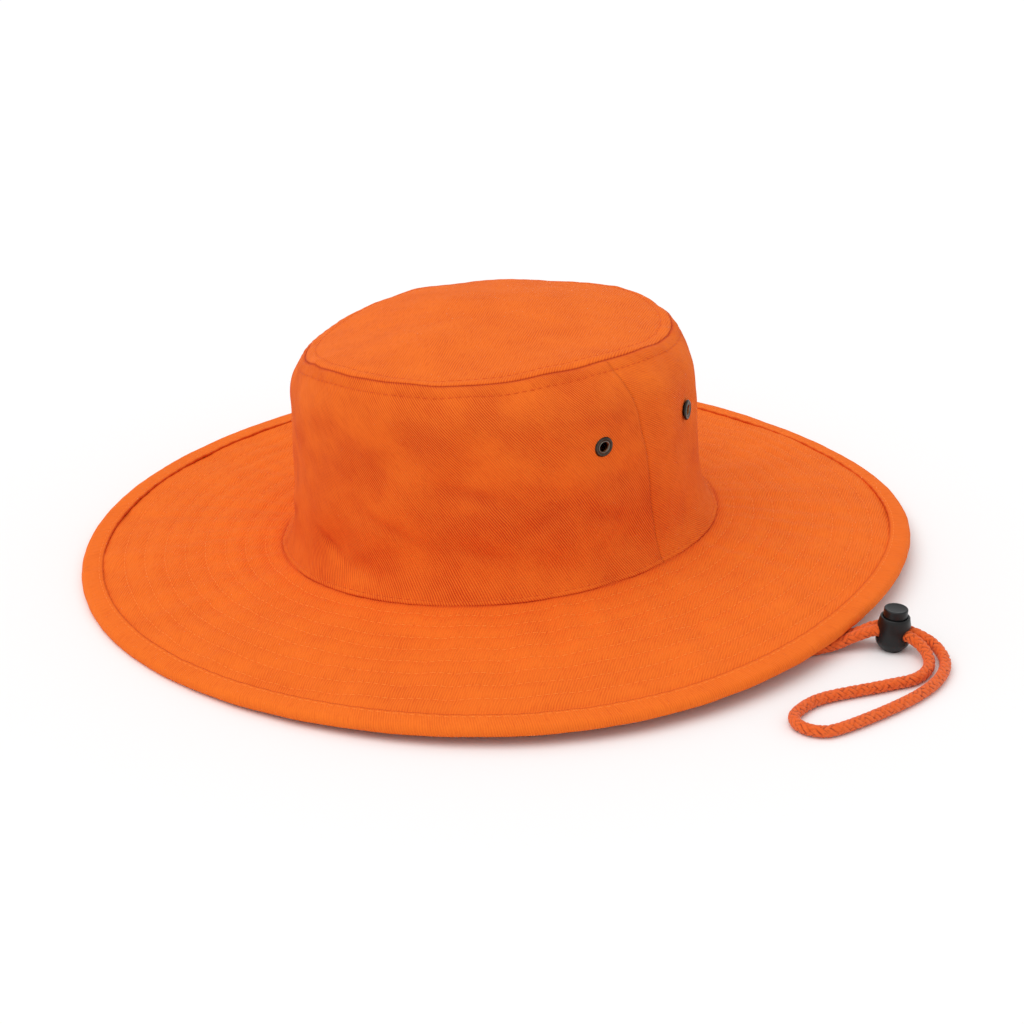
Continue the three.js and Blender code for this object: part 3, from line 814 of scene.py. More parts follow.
def metal_material(settings):
    """Dark antique plating, rubbed bright on the ridges that its attribute marks, with a painted reflection of the
    dim orange cloth in the bore.
    """
    material, wires, skin = new_material("eyelet_metal")
    place = wires.node("ShaderNodeTexCoord").outputs["Object"]
    ridge = wires.node("ShaderNodeAttribute", attribute_name="painted_shade_and_wear").outputs["Fac"]
    grain = wires.noise(place, 900.0, 4.0, 0.6)
    rubbed = wires.math("MULTIPLY", ridge, wires.span(grain, 0.35, 0.65, 0.3, 1.0))
    colour = wires.mix(rubbed, (*settings.metal, 1), (*settings.worn_metal, 1))
    # Painted reflection of the dim orange cloth on the eyelet's bore.
    bore = wires.node("ShaderNodeAttribute", attribute_name="bore").outputs["Fac"]
    colour = wires.mix(bore, colour, (*settings.bore_painted_reflection, 1))
    relief = wires.node("ShaderNodeBump", [("Strength", 0.15), ("Distance", 0.05 * MM)])
    wires.put(relief.inputs["Height"], grain)
    wires.put(skin.inputs["Base Color"], colour)
    wires.put(skin.inputs["Roughness"], wires.span(grain, 0.3, 0.7, 0.28, 0.5))
    wires.put(skin.inputs["Normal"], relief.outputs[0])
    skin.inputs["Metallic"].default_value = 1.0
    return material


def plastic_material(settings):
    """Satin moulded plastic with a fine spark-eroded grain."""
    material, wires, skin = new_material("lock_plastic")
    place = wires.node("ShaderNodeTexCoord").outputs["Object"]
    grain = wires.noise(place, 2400.0, 3.0, 0.6)
    cloud = wires.noise(place, 160.0, 2.0)
    colour = wires.mix(wires.span(cloud, 0.4, 0.7, 0.0, 0.5), (*settings.plastic, 1), (0.008, 0.008, 0.0085, 1))
    relief = wires.node("ShaderNodeBump", [("Strength", 0.25), ("Distance", 0.04 * MM)])
    wires.put(relief.inputs["Height"], grain)
    wires.put(skin.inputs["Base Color"], colour)
    wires.put(skin.inputs["Roughness"], wires.span(grain, 0.3, 0.7, 0.30, 0.42))
    skin.inputs["Specular IOR Level"].default_value = 0.38
    wires.put(skin.inputs["Normal"], relief.outputs[0])
    return material


# The chin strap


def cord_line(step):
    """Points of the smooth line through the chin strap's route, about a step apart, in metres."""
    route = np.array(CORD_ROUTE) * MM
    ends = [2 * route[0] - route[1], *route, 2 * route[-1] - route[-2]]
    line = [route[0]]
    for i in range(1, len(ends) - 2):
        corners = ends[i - 1 : i + 3]
        knots = np.cumsum([0] + [math.sqrt(np.linalg.norm(b - a)) for a, b in zip(corners, corners[1:])])
        count = max(2, math.ceil(np.linalg.norm(corners[2] - corners[1]) / step))
        for t in np.linspace(knots[1], knots[2], count + 1)[1:]:
            row = corners
            for level in (1, 2, 3):
                row = [
                    ((knots[k + level] - t) * row[k] + (t - knots[k]) * row[k + 1]) / (knots[k + level] - knots[k])
                    if level == 1
                    else blend_pair(row, knots, k, level, t)
                    for k in range(4 - level)
                ]
            line.append(row[0])
    return np.array(line)


def blend_pair(row, knots, k, level, t):
    """One step of the centripetal spline between two neighbouring points of a level."""
    low = knots[k + 1] if level == 3 else knots[k]
    high = knots[k + 2] if level == 3 else knots[k + 2]
    return ((high - t) * row[k] + (t - low) * row[k + 1]) / (high - low)


def even_line(line, step):
    """The same line with points evenly apart."""
    run = distances(line[None], 1)[0]
    count = round(run[-1] / step)
    at = np.linspace(0, run[-1], count + 1)
    return np.stack([np.interp(at, run, line[:, k]) for k in range(3)], -1), at


def carried_frames(line):
    """Two unit vectors across the line at each point, carried along it without twist."""
    ahead = np.gradient(line, axis=0)
    ahead /= np.linalg.norm(ahead, axis=1, keepdims=True)
    side = np.cross(ahead[0], (0, 0, 1.0))
    side /= np.linalg.norm(side)
    sides = [side]
    for direction in ahead[1:]:
        side = side - direction * np.dot(side, direction)
        side /= np.linalg.norm(side)
        sides.append(side)
    sides = np.array(sides)
    return sides, np.cross(ahead, sides)


def braid_heights(turns, run, settings):
    """Height of the braid's surface from 0 in a gap to 1 on a yarn, two yarns over and two under."""
    first = turns * settings.yarns + run / settings.crossing
    second = turns * settings.yarns - run / settings.crossing
    over = (np.floor(first / 2) + np.floor(second / 2)) % 2
    yarn_a = np.abs(np.sin(math.pi * first / 1.0))
    yarn_b = np.abs(np.sin(math.pi * second / 1.0))
    return np.where(over > 0.5, yarn_a, yarn_b) ** 0.7


class HatChinCord(bpy.types.Operator):
    """Builds the braided chin strap along its resting line."""

    bl_idname = "hat.chin_cord"
    bl_label = "Chin Cord"

    def execute(self, context):
        settings = context.scene.hat_cord
        line, run = even_line(cord_line(0.4 * MM), 0.5 * MM)
        side, up = carried_frames(line)
        columns = 36
        angles = ring_angles(columns)
        turns, along = np.meshgrid(angles / TURN, run)
        height = braid_heights(turns, along, settings)
        radius = settings.diameter / 2 + settings.relief * (height - 0.75)
        points = line[:, None] + radius[..., None] * (
            np.cos(angles)[None, :, None] * side[:, None] + np.sin(angles)[None, :, None] * up[:, None]
        )
        girth = math.pi * settings.diameter / MM
        pattern = np.stack([turns * girth, along / MM], -1)
        # Painted shade in the gaps between the yarns.
        painted_shade_and_wear = np.clip(1.3 - height * 2.1, 0, 1)
        cord = sheet_of("chin_cord_braid", points, pattern, painted_shade_and_wear)
        edit_all(cord, bpy.ops.mesh.region_to_loop, bpy.ops.mesh.edge_face_add)
        edit_all(cord, face_outwards)
        shade_smooth(cord)
        dress(cord, "root", braid_material(settings), ["chin_cord"])
        return {"FINISHED"}


# The crown


PUCKER = 7.5 * MM  # from one gather beside a seam to the next
WALL_COLUMNS = 220
WALL_FINE_ROWS = 74
TIP_COLUMNS = 288
TIP_FINE_ROWS = 60


# Soft dents of the wall: place round the hat in degrees, share of the height, half width in degrees, half
# height as a share, slant as a share in 100 degrees, depth in millimetres, which also sets the dent's painted
# shade
DENTS = (
    (-57, 0.505, 8, 0.035, -0.44, 1.0),
    (-79, 0.33, 9, 0.04, -0.7, 0.9),
    (-55, 0.22, 8, 0.045, -0.5, 0.7),
    (-98, 0.175, 7, 0.022, -1.0, 0.9),
    (-13, 0.48, 6, 0.04, 0.3, 0.8),
    (-18, 0.30, 8, 0.05, -0.5, 0.8),
    (-1, 0.25, 4, 0.1, -2.0, 0.6),
    (-38, 0.35, 6, 0.04, 0.8, 0.6),
    (-88, 0.62, 10, 0.09, 0.5, 0.4),
    (60, 0.45, 9, 0.05, 0.5, 0.8),
    (78, 0.22, 8, 0.04, -0.6, 0.8),
    (110, 0.30, 8, 0.05, -0.6, 0.9),
    (135, 0.5, 7, 0.04, 0.6, 0.7),
    (160, 0.35, 8, 0.05, 0.4, 0.8),
    (215, 0.35, 8, 0.05, -0.5, 0.8),
    (236, 0.2, 7, 0.035, 0.7, 0.8),
)


def wall_shares():
    """Rows of the wall, closer together near its two seams."""
    even = np.linspace(0, 1, WALL_FINE_ROWS + 1)
    return even - 0.09 * np.sin(2 * TURN / 2 * even) * 0.9


def seam_puckers(run, distance, reach, seed, points):
    """Small gathers beside a seam, which fade with the distance from it."""
    waves = np.sin(run * (TURN / PUCKER) + 3.0 * soft_noise(points, 25 * MM, seed))
    return waves * np.exp(-distance / reach)


def seam_dip(points, distance):
    """Moves both sheets of the tip's seam alike: a tight crease that wanders up and down a little."""
    out = points * (1, 1, 0)
    inwards = -(out / np.linalg.norm(out, axis=-1, keepdims=True) + (0, 0, 1)) / math.sqrt(2)
    edge = np.where(distance < 0.5 * MM, 1.0, 0.0)
    depth = 0.75 * MM * beside(distance, 0.75 * MM)
    rim = points[np.argmax(edge.mean(1))]
    wander = 0.30 * MM * soft_noise(rim, 9 * MM, 15) + 0.45 * MM * soft_noise(rim, 24 * MM, 16)
    return depth[..., None] * inwards + (beside(distance, 7 * MM) * wander)[..., None] * np.array((0, 0, 1.0))


def wall_panel(name, wall, start, finish, settings):
    """Outer face of one half of the wall between two seams, with its relief. Returns points, normals,
    pattern, painted shade and the height of each row above the foot."""
    shares = wall_shares()
    part = np.linspace(0, 1, WALL_COLUMNS + 1)
    low = np.polyval(start, shares)[:, None]
    high = np.polyval(finish, shares)[:, None]
    angles = low + part[None, :] * (high - low)
    points = wall.points(angles, shares)
    up = distances(points, 0)
    along = distances(points, 1)
    normals = grid_normals(points, False)
    from_top = up[-1][None, :] - up
    from_foot = up
    from_side = np.minimum(along, along[:, -1:] - along)
    at_side = 1 - beside(from_side, 4 * MM)
    relief = 0.30 * MM * np.clip(1 - np.abs(from_top / settings.tip_stitch - 0.5) * 2, 0, 1) ** 0.6
    relief -= 0.22 * MM * beside(from_top - settings.tip_stitch, 0.8 * MM)
    relief -= 0.20 * MM * beside(from_foot - settings.foot_stitch, 0.7 * MM)
    relief += 0.45 * MM * beside(from_foot - 1.1 * MM, 1.0 * MM)
    relief -= 0.12 * MM * beside(from_side, 1.1 * MM)
    relief += 0.10 * MM * beside(from_side - 2.2 * MM, 1.4 * MM)
    gathers = seam_puckers(along, np.abs(from_top - 0.5 * settings.tip_stitch), 5 * MM, 11, points)
    relief += 0.16 * MM * gathers * at_side
    relief += 0.10 * MM * seam_puckers(along, from_foot, 6 * MM, 12, points) * at_side
    relief += 0.55 * MM * soft_noise(points, 17 * MM, 21)
    relief += 0.10 * MM * soft_noise(points, 5 * MM, 22)
    shade = 0
    for place, height, width, tall, slant, depth in DENTS:
        aside = np.degrees((angles - math.radians(place) + math.pi) % TURN - math.pi)
        above = shares[:, None] - height - slant * aside / 100
        dent = depth * beside(aside, width) * beside(above, tall)
        relief -= dent * MM
        # Painted shade: each dent darkens the cloth by its depth.
        shade = shade + 0.36 * dent
    relief *= 1 - beside(from_top, 2 * MM)
    points = points + relief[..., None] * normals + seam_dip(points, from_top)
    # Painted shade in the dents, along the tip's seam crease, at the foot where the wall meets the brim, along the
    # side seams and along the row of stitches under the tip.
    painted_shade_and_wear = shade + 0.9 * beside(from_top, 0.6 * MM) + 0.9 * beside(from_foot, 0.4 * MM)
    painted_shade_and_wear += 0.04 * beside(from_side, 0.9 * MM) + 0.14 * beside(from_top - settings.tip_stitch, 0.5 * MM)
    mean = along[len(along) // 2][None, :] + 0 * up
    pattern = np.stack([mean, up], -1) / MM
    return points, grid_normals(points, False), pattern, painted_shade_and_wear, up


def line_at(points, normals, heights, target):
    """The line of a grid on which the height of the rows is the target, with its normals."""
    path, facing = [], []
    for column in range(points.shape[1]):
        run = heights[:, column]
        path.append([np.interp(target, run, points[:, column, k]) for k in range(3)])
        facing.append([np.interp(target, run, normals[:, column, k]) for k in range(3)])
    return np.array(path), np.array(facing)


class HatCrown(bpy.types.Operator):
    """Builds the two halves of the crown's wall and its tip, with their rows of stitches."""

    bl_idname = "hat.crown"
    bl_label = "Crown"

    def execute(self, context):
        settings = context.scene.hat_cloth
        wall = Wall()
        wall.stand_on(Ply("brim_top", True))
        left, right = wall.seams
        behind = left.copy()
        ahead = right.copy()
        ahead[-1] -= TURN
        # The back half's twill has less painted furrow shade than the front half's, which lightens it.
        halves = [
            ("crown_front_cloth", "crown_side_front", ahead, behind, 118.0, 1.12),
            ("crown_back_cloth", "crown_side_back", left, right, 140.0, 0.85),
        ]
        rows = []
        for name, node, start, finish, angle, contrast in halves:
            points, normals, pattern, painted_shade_and_wear, up = wall_panel(name, wall, start, finish, settings)
            panel = sheet_of(name, points, pattern, painted_shade_and_wear)
            thicken(panel, settings.crown_cloth)
            material = cloth_material(name, settings, angle, 1.0, contrast, 0.12)
            dress(panel, "root", material, [node])
            rows.append(line_at(points, normals, up - up[-1][None, :], -settings.tip_stitch))
            rows.append(line_at(points, normals, up, settings.foot_stitch))
        # The crown's thread is coloured dark as painted shade of its stitches' holes.
        thread = thread_material("crown_thread_painted_shade", settings.crown_thread_painted_shade, settings)
        dress(stitch_rows("crown_wall_stitches", rows, settings), "root", thread)
        self.build_tip(wall, settings, thread)
        return {"FINISHED"}

    def build_tip(self, wall, settings, thread):
        tip = Tip(wall)
        even = np.linspace(0, 1, TIP_FINE_ROWS + 1)
        shares = 0.6 * even + 0.4 * even**2
        angles = np.tile(ring_angles(TIP_COLUMNS), (len(shares), 1))
        points = tip.points(angles, shares)
        inward = distances(points, 0)
        around = distances(points[:1], 1)[0, -1]
        along = ring_run(angles, around, PUCKER)
        normals = grid_normals(points, True)
        normals[-1] = (0, 0, 1)
        relief = 0.30 * MM * np.clip(1 - np.abs(inward / settings.tip_stitch - 0.5) * 2, 0, 1) ** 0.6
        relief -= 0.20 * MM * beside(inward - settings.tip_stitch, 0.8 * MM)
        ring_fade = np.clip(1 - shares, 0, 1)[:, None]
        relief += 0.08 * MM * ring_fade * seam_puckers(along, inward, 6 * MM, 13, points)
        relief += 0.50 * MM * soft_noise(points, 26 * MM, 23)
        relief += 0.12 * MM * soft_noise(points, 7 * MM, 24)
        relief *= 1 - beside(inward, 2 * MM)
        points = points + relief[..., None] * normals + seam_dip(points, inward)
        points[-1] = points[-1].mean(0)
        # Painted shade in the seam's crease and along the row of stitches.
        painted_shade_and_wear = 0.9 * beside(inward, 0.6 * MM) + 0.08 * beside(inward - settings.tip_stitch, 0.5 * MM)
        sheet = sheet_of("crown_tip_cloth", points, points[..., :2] / MM, painted_shade_and_wear)
        thicken(sheet, settings.crown_cloth)
        material = cloth_material("crown_tip_cloth", settings, 117.0, 1.05, 0.6, 0.1)
        dress(sheet, "root", material, ["crown_tip"])
        normals = grid_normals(points, True)
        row = line_at(points, normals, inward, settings.tip_stitch)
        dress(stitch_rows("crown_tip_stitches", [row], settings), "root", thread)


# The brim


BRIM_COLUMNS = 600
BRIM_FINE_ROWS = 66
BRIM_TUCK = 5.5 * MM  # how far the brim runs in under the foot of the crown


def row_distances(settings):
    return settings.first_row + settings.row_gap * np.arange(settings.rows)


def quilted(out, settings):
    """Rise of the cloth between the rows of stitches, from 0 on a row to 1 between two."""
    rows = row_distances(settings)
    edges = np.concatenate([[rows[0] - settings.row_gap], rows, [rows[-1] + settings.row_gap]])
    nearest = np.min(np.abs(out[..., None] - edges), -1)
    return np.sin(np.clip(nearest / settings.row_gap, 0, 0.5) * math.pi) ** 0.7, nearest


def brim_ply(name, node, from_above, settings, columns, rows):
    """Outer face of one ply with its quilting, and what its rows of stitches need."""
    ply = Ply(node, from_above)
    shares = np.linspace(0, 1, rows + 1)
    angles = np.tile(ring_angles(columns), (rows + 1, 1))
    points = ply.points(angles, shares)
    out = distances(points, 0) - BRIM_TUCK
    normals = grid_normals(points, True) * -1
    rise, nearest = quilted(out, settings)
    inside = 1 / (1 + np.exp(-(out - 2 * MM) / (1 * MM)))
    around = distances(points[-1:], 1)[0, -1]
    gathers = np.sin(ring_run(angles, around, PUCKER) * (TURN / PUCKER) + 4 * soft_noise(points, 30 * MM, 31))
    relief = settings.quilting * (rise - 0.5) * (0.8 + 0.35 * soft_noise(points, 20 * MM, 32))
    relief += 0.10 * MM * gathers * rise * (0.5 + 0.5 * soft_noise(points, 22 * MM, 33))
    relief += 0.12 * MM * soft_noise(points, 6 * MM, 34)
    relief = relief * inside
    side = 1 if from_above else -1
    points = points + (relief * side)[..., None] * normals
    points[..., 2] += 0.35 * MM * soft_noise(points, 30 * MM, 35) * inside
    spokes = np.stack([0.13 * np.cos(angles), 0.13 * np.sin(angles), out / 5], -1)
    edge = np.clip((out[-1:] - out) / (14 * MM), 0, 1)
    points[..., 2] += 0.42 * MM * soft_noise(spokes, 8 * MM, 36) * inside * edge
    if not from_above:
        points[..., 2] = np.maximum(points[..., 2], 0.03 * MM)
    # Painted shade along the rows of stitches and at the crown's foot, where the brim runs in under it.
    painted_shade_and_wear = 0.10 * beside(nearest, 1.0 * MM) * inside + 0.7 * beside(out, 0.8 * MM)
    return points, grid_normals(points, True) * -side, out, painted_shade_and_wear


class HatBrim(bpy.types.Operator):
    """Builds the brim's two plies with their rows of stitches."""

    bl_idname = "hat.brim"
    bl_label = "Brim"

    def execute(self, context):
        settings = context.scene.hat_cloth
        thread = thread_material("brim_thread", settings.thread, settings)
        plies = [
            ("brim_top_cloth", "brim_top", True, BRIM_COLUMNS, BRIM_FINE_ROWS, 117.0),
            ("brim_under_cloth", "brim_under", False, 480, 54, 63.0),
        ]
        for name, node, from_above, columns, rows, angle in plies:
            points, normals, out, painted_shade_and_wear = brim_ply(name, node, from_above, settings, columns, rows)
            turn = 1 if from_above else -1
            faces = points[::-1, ::turn]
            sheet = sheet_of(name, faces, faces[..., :2] / MM, painted_shade_and_wear[::-1, ::turn])
            thicken(sheet, settings.brim_cloth)
            material = cloth_material(name, settings, angle, 1.1, 0.42, 0.08)
            dress(sheet, "root", material, [node])
            lines = [line_at(points, normals, out, distance) for distance in row_distances(settings)]
            stitches = stitch_rows(name.replace("cloth", "stitches"), lines, settings)
            dress(stitches, "root", thread)
        return {"FINISHED"}


class HatBinding(bpy.types.Operator):
    """Builds the strip folded over the brim's edge, with its row of stitches on each face."""

    bl_idname = "hat.binding"
    bl_label = "Binding"

    def execute(self, context):
        settings = context.scene.hat_cloth
        half = 2.65 * MM
        top = Ply("brim_top", True)
        under = Ply("brim_under", False)
        angles = ring_angles(600)
        joint = math.radians(130)
        ends = np.tile(angles + joint, (2, 1))
        upper = top.points(ends, [0.92, 1.0])
        lower = under.points(ends, [0.92, 1.0])
        inner, edge = (upper + lower) / 2
        outward = edge - inner
        outward /= np.linalg.norm(outward, axis=1, keepdims=True)
        around = np.gradient(edge, axis=0)
        around[0] = around[-1] = edge[1] - edge[-2]
        facing = np.cross(outward, around)
        facing /= np.linalg.norm(facing, axis=1, keepdims=True)
        flat = np.linspace(half - settings.binding_width, 0, 9)
        nose = np.radians(np.linspace(90, -90, 11))[1:-1]
        along = np.concatenate([flat, half * np.cos(nose), flat[::-1]])
        high = np.concatenate([0 * flat + half, half * np.sin(nose), 0 * flat - half])
        points = edge[None] + along[:, None, None] * outward[None] + high[:, None, None] * facing[None]
        run = ring_run(np.tile(angles, (len(points), 1)), distances(edge[None], 1)[0, -1], PUCKER)
        section = distances(points, 0)
        normals = -grid_normals(points, True)
        from_edge = np.minimum(section, section[-1:] - section)
        sewn = 1.7 * MM
        relief = -0.15 * MM * beside(from_edge - sewn, 0.8 * MM)
        relief -= 0.35 * MM * beside(from_edge, 1.2 * MM)
        relief += 0.14 * MM * seam_puckers(run, from_edge, 5 * MM, 41, points)
        relief += 0.10 * MM * soft_noise(points, 9 * MM, 42)
        points = points + relief[..., None] * normals
        points[..., 2] = np.maximum(points[..., 2], 0)
        # Painted shade along the strip's two edges and its rows of stitches.
        painted_shade_and_wear = 0.6 * beside(from_edge, 0.4 * MM) + 0.06 * beside(from_edge - sewn, 0.4 * MM)
        pattern = np.stack([run, section], -1) / MM
        strip = sheet_of("binding_cloth", points[::-1], pattern[::-1], painted_shade_and_wear[::-1])
        thicken(strip, settings.binding_cloth)
        dress(strip, "root", cloth_material("binding_cloth", settings, 78.0, 1.0, 0.35, 0.0), ["brim_binding"])
        normals = -grid_normals(points, True)
        rows = [
            line_at(points, normals, section, sewn),
            line_at(points, normals, section, section[-1].mean() - sewn),
        ]
        thread = thread_material("binding_thread", settings.thread, settings)
        dress(stitch_rows("binding_stitches", rows, settings), "root", thread)
        return {"FINISHED"}


# The fittings


def turned_piece(name, profile, steps):
    """A solid turned about +Z from a profile of (radius, height) pairs in metres."""
    mesh = bpy.data.meshes.new(name)
    corners = [(radius, 0, height) for radius, height in profile]
    mesh.from_pydata(corners, [(i, i + 1) for i in range(len(corners) - 1)], [])
    piece = bpy.data.objects.new(name, mesh)
    bpy.context.scene.collection.objects.link(piece)

    def spin():
        bpy.ops.mesh.spin(steps=steps, angle=TURN, center=(0, 0, 0), axis=(0, 0, 1))

    edit_all(piece, spin, merge_doubles, face_outwards)
    return piece


def arc(centre, radius, start, finish, count):
    """Points of an arc in a profile, angles in degrees."""
    bends = np.radians(np.linspace(start, finish, count))
    return [(centre[0] + radius * math.cos(bend), centre[1] + radius * math.sin(bend)) for bend in bends]


def place_piece(piece, matrix):
    """Moves a finished mesh to its place and leaves its object at the origin."""
    piece.data.transform(matrix)
    piece.data.update()


def eyelet_frame(node):
    """Middle of an eyelet's ring and a matrix whose +Z is the way it faces."""
    corners = np.array([vertex.co for vertex in frame["nodes"][node].data.vertices])
    middle = (corners.min(0) + corners.max(0)) / 2
    spread = np.unique(np.round(corners, 7), axis=0)
    middle = spread.mean(0)
    values, axes = np.linalg.eigh(np.cov((spread - middle).T))
    facing = Vector(axes[:, 0])
    if facing.x * middle[0] + facing.y * middle[1] < 0:
        facing = -facing
    turn = Vector((0, 0, 1)).rotation_difference(facing).to_matrix().to_4x4()
    return Matrix.Translation(Vector(middle)) @ turn


class HatEyelets(bpy.types.Operator):
    """Builds the four metal eyelets and cuts their holes in the wall."""

    bl_idname = "hat.eyelets"
    bl_label = "Eyelets"

    def execute(self, context):
        fittings = context.scene.hat_fittings
        metal = metal_material(fittings)
        names = [node for node in frame["nodes"] if node.startswith("eyelet_")]
        seat = 1.05 * MM
        barrel = 2.8 * MM
        outer = fittings.eyelet_radius
        hole = fittings.eyelet_hole
        crest = 0.7 * MM
        width = outer - hole
        face = [
            (hole, 0),
            (hole, seat),
            (hole + 0.10 * width, seat + 0.55 * crest),
            (hole + 0.22 * width, seat + 0.85 * crest),
            (hole + 0.36 * width, seat + 0.62 * crest),
            (hole + 0.5 * width, seat + 0.72 * crest),
            (hole + 0.66 * width, seat + crest),
            (hole + 0.84 * width, seat + 0.85 * crest),
            (hole + 0.96 * width, seat + 0.4 * crest),
            (outer, seat),
            (outer - 0.25 * MM, seat - 0.25 * MM),
            (barrel, seat - 0.2 * MM),
        ]
        profile = face + [(radius, -height) for radius, height in reversed(face)]
        for name in sorted(names):
            ring = turned_piece(name + "_ring", profile, 40)
            corners = np.array([vertex.co for vertex in ring.data.vertices])
            radii = np.hypot(corners[:, 0], corners[:, 1])
            ridge = beside(radii - (hole + 0.2 * width), 0.25 * MM)
            ridge += 0.25 * beside(radii - (hole + 0.7 * width), 0.3 * MM)
            set_attribute(ring.data, "painted_shade_and_wear", ridge * (np.abs(corners[:, 2]) > seat))
            # The bore mask marks where the material paints a reflection of the cloth.
            set_attribute(ring.data, "bore", (radii < hole + 0.05 * MM) & (np.abs(corners[:, 2]) <= 1.01 * seat))
            place = eyelet_frame(name)
            self.cut_hole(place, barrel + 0.2 * MM)
            place_piece(ring, place)
            shade_smooth(ring, 50)
            dress(ring, "root", metal, [name])
        return {"FINISHED"}

    def cut_hole(self, place, radius):
        deselect_all()
        bpy.ops.mesh.primitive_cylinder_add(vertices=32, radius=radius, depth=9 * MM)
        cutter = bpy.context.object
        place_piece(cutter, place)
        middle = place.translation
        panels = [bpy.data.objects[name] for name in ("crown_front_cloth", "crown_back_cloth")]
        panel = min(panels, key=lambda piece: piece.closest_point_on_mesh(middle)[1].cross(Vector()).length
                    + (piece.closest_point_on_mesh(middle)[1] - middle).length)
        apply_modifier(panel, "BOOLEAN", operation="DIFFERENCE", object=cutter, solver="EXACT")
        bpy.data.objects.remove(cutter)


def lock_frame():
    """Middle of the lock's foot and a matrix with +Z up the lock and +X along its cord hole."""
    press = next(joint for joint in frame["joints"] if joint["name"] == "toggle_press")
    up = -Vector(press["axis"]).normalized()
    level = Vector((up.x, up.y, 0)).normalized()
    across = Vector((0, 0, 1)).cross(level)
    along = across.cross(up)
    corners = [vertex.co for vertex in frame["nodes"]["toggle_body"].data.vertices]
    place = Vector()
    for axis in (along, across, up):
        reach = [corner.dot(axis) for corner in corners]
        place += axis * (min(reach) if axis is up else (min(reach) + max(reach)) / 2)
    matrix = Matrix((along, across, up)).transposed().to_4x4()
    matrix.translation = place
    return matrix


def slot_cutter(width, low, high, length):
    """A bar with round sides along +X."""
    deselect_all()
    bpy.ops.mesh.primitive_cube_add(size=1, location=(0, 0, (low + high) / 2), scale=(length, width, high - low))
    bar = bpy.context.object
    bpy.ops.object.transform_apply(location=True, rotation=True, scale=True)
    bar.data.update()
    make_active(bar)
    bpy.ops.object.mode_set(mode="EDIT")
    bpy.ops.mesh.select_all(action="DESELECT")
    bpy.ops.object.mode_set(mode="OBJECT")
    for edge in bar.data.edges:
        first, second = (bar.data.vertices[index].co for index in edge.vertices)
        edge.select = abs(first.x - second.x) > length / 2
    bpy.ops.object.mode_set(mode="EDIT")
    bpy.ops.mesh.select_mode(type="EDGE")
    bpy.ops.mesh.bevel(offset=2.3 * MM, segments=8, clamp_overlap=True)
    bpy.ops.object.mode_set(mode="OBJECT")
    return bar


class HatCordLock(bpy.types.Operator):
    """Builds the cord lock's body and its push button."""

    bl_idname = "hat.cord_lock"
    bl_label = "Cord Lock"

    def execute(self, context):
        settings = context.scene.hat_fittings
        plastic = plastic_material(settings)
        place = lock_frame()
        radius = settings.lock_radius
        height = settings.lock_height
        cap = settings.cap_radius
        mouth = cap + 0.2 * MM
        bore = radius - 1.15 * MM
        floor = 1.6 * MM
        collar = height - 1.7 * MM
        outline = [
            (0, 0),
            (4.3 * MM, 0),
            *arc((4.3 * MM, 0.6 * MM), 0.6 * MM, -75, -40, 3),
            (0.93 * radius, 0.17 * height),
            *arc((radius - 3.2 * MM, 0.30 * height), 3.2 * MM, -18, 0, 4)[1:],
            (radius, 0.44 * height),
            (radius, 0.55 * height),
            (0.985 * radius, 0.66 * height),
            (0.95 * radius, 0.78 * height),
            (0.9 * radius, 0.89 * height),
            *arc((5.5 * MM, height - 0.7 * MM), 0.7 * MM, 35, 90, 5),
            (mouth + 0.15 * MM, height),
            (mouth, height - 0.15 * MM),
            (mouth, collar),
            (bore, collar),
            (bore, floor),
            (0, floor),
        ]
        body = turned_piece("cord_lock_body", outline, 56)
        low = 4.8 * MM
        high = low + 4.6 * MM + 0.8 * MM
        cutter = slot_cutter(10.24 * MM, low, high, 40 * MM)
        apply_modifier(body, "BOOLEAN", operation="DIFFERENCE", object=cutter, solver="EXACT")
        bpy.data.objects.remove(cutter)
        place_piece(body, place)
        shade_smooth(body, 38)
        dress(body, "root", plastic, ["toggle_body"])
        top = height + settings.cap_stand
        dish = 0.35 * MM
        button = [
            (0, low - 1 * MM),
            (bore - 0.2 * MM, low - 1 * MM),
            (bore - 0.2 * MM, collar - 0.2 * MM),
            (cap, collar - 0.2 * MM),
            (cap, top - 0.5 * MM),
            *arc((cap - 0.5 * MM, top - 0.5 * MM), 0.5 * MM, 0, 90, 5)[1:],
            (cap - 0.9 * MM, top - 0.1 * MM),
            (0.6 * cap, top - 0.8 * dish),
            (0, top - dish),
        ]
        plunger = turned_piece("cord_lock_button", button, 56)
        cutter = slot_cutter(10.24 * MM, low, high + 2 * MM, 40 * MM)
        apply_modifier(plunger, "BOOLEAN", operation="DIFFERENCE", object=cutter, solver="EXACT")
        bpy.data.objects.remove(cutter)
        place_piece(plunger, place)
        shade_smooth(plunger, 38)
        dress(plunger, "plunger", plastic, ["toggle_plunger"])
        return {"FINISHED"}


# The stage


class HatCamera(bpy.types.Operator):
    """Sets up the camera at the photo's angle to the hat."""

    bl_idname = "hat.camera"
    bl_label = "Camera"

    def execute(self, context):
        azimuth = math.radians(VIEW_AZIMUTH)
        elevation = math.radians(VIEW_ELEVATION)
        back = Vector(
            (
                math.sin(azimuth) * math.cos(elevation),
                -math.cos(azimuth) * math.cos(elevation),
                math.sin(elevation),
            )
        )
        data = bpy.data.cameras.new("photo_camera")
        data.lens = VIEW_LENS
        data.sensor_width = 36
        data.shift_x, data.shift_y = VIEW_SHIFT
        camera = bpy.data.objects.new("photo_camera", data)
        camera.location = Vector(VIEW_TARGET) + back * VIEW_DISTANCE
        camera.rotation_euler = back.to_track_quat("Z", "Y").to_euler()
        context.scene.collection.objects.link(camera)
        context.scene.camera = camera
        return {"FINISHED"}


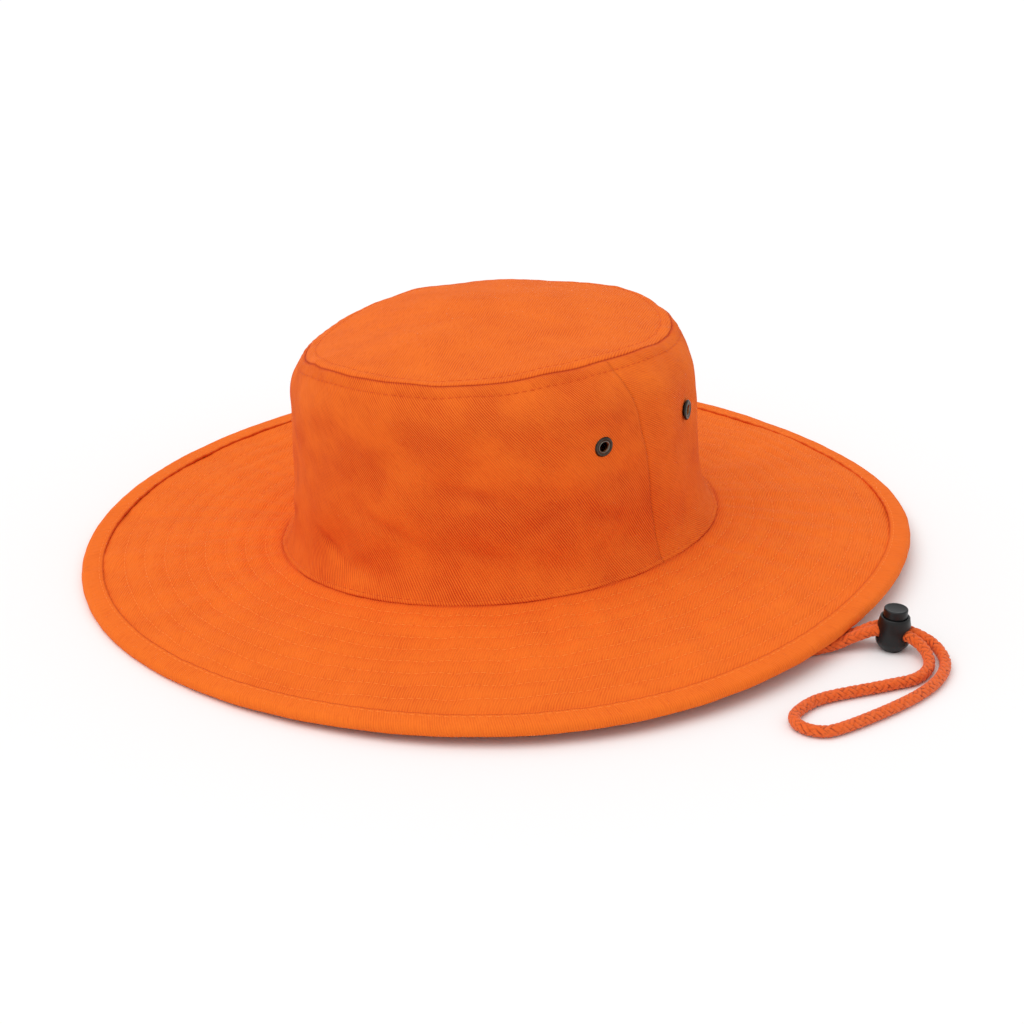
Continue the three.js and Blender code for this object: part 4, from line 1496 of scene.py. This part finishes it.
class HatStage(bpy.types.Operator):
    """Sets up the plain pale floor and the soft studio light."""

    bl_idname = "hat.stage"
    bl_label = "Stage"

    def execute(self, context):
        settings = context.scene.hat_stage
        deselect_all()
        bpy.ops.mesh.primitive_plane_add(size=settings.floor_side)
        floor = context.object
        floor.name = "floor"
        material, wires, skin = new_material("floor_paint")
        place = wires.node("ShaderNodeTexCoord").outputs["Object"]
        cloud = wires.span(wires.noise(place, 3.0), 0.3, 0.7, 0.97, 1.0)
        tint = wires.mix(cloud, (0.9, 0.9, 0.9, 1), (*settings.floor, 1))
        wires.put(skin.inputs["Base Color"], tint)
        skin.inputs["Roughness"].default_value = 0.9
        skin.inputs["Specular IOR Level"].default_value = 0.0
        floor.data.materials.append(material)
        world = bpy.data.worlds.new("studio")
        world.use_nodes = True
        world.node_tree.nodes["Background"].inputs["Color"].default_value = (1, 1, 1, 1)
        world.node_tree.nodes["Background"].inputs["Strength"].default_value = 0.765
        context.scene.world = world
        self.add_light("key_light", (-0.10, -0.36, 0.92), 1.05, 60)
        context.scene.view_settings.view_transform = "Standard"
        return {"FINISHED"}

    def add_light(self, name, towards, power, width):
        """A soft light without an end, so that the whole floor is lit alike."""
        data = bpy.data.lights.new(name, "SUN")
        data.energy = power
        data.angle = math.radians(width)
        light = bpy.data.objects.new(name, data)
        light.rotation_euler = Vector(towards).to_track_quat("Z", "Y").to_euler()
        bpy.context.scene.collection.objects.link(light)


class HatPanel(bpy.types.Panel):
    """Lists the hat's sizes, colours and pieces."""

    bl_idname = "VIEW3D_PT_hat"
    bl_label = "Hat"
    bl_space_type = "VIEW_3D"
    bl_region_type = "UI"
    bl_category = "Hat"

    def draw(self, context):
        for group in SETTINGS:
            box = self.layout.box()
            settings = getattr(context.scene, group)
            for name in settings.__annotations__:
                box.prop(settings, name)
        for operator in OPERATORS:
            self.layout.operator(operator.bl_idname)


SETTINGS = {
    "hat_cloth": HatClothSettings,
    "hat_cord": HatCordSettings,
    "hat_fittings": HatFittingSettings,
    "hat_stage": HatStageSettings,
}
OPERATORS = (HatCamera, HatCordLock, HatChinCord, HatCrown, HatBrim, HatBinding, HatEyelets, HatStage)


def register():
    for name, group in SETTINGS.items():
        bpy.utils.register_class(group)
        setattr(bpy.types.Scene, name, PointerProperty(type=group))
    for operator in OPERATORS:
        bpy.utils.register_class(operator)
    bpy.utils.register_class(HatPanel)


def unregister():
    bpy.utils.unregister_class(HatPanel)
    for operator in reversed(OPERATORS):
        bpy.utils.unregister_class(operator)
    for name, group in SETTINGS.items():
        delattr(bpy.types.Scene, name)
        bpy.utils.unregister_class(group)


def main():
    register()
    bpy.ops.hat.camera()
    bpy.ops.hat.cord_lock()
    bpy.ops.hat.chin_cord()
    bpy.ops.hat.crown()
    bpy.ops.hat.brim()
    bpy.ops.hat.binding()
    bpy.ops.hat.eyelets()
    bpy.ops.hat.stage()


if __name__ == "__main__":
    main()
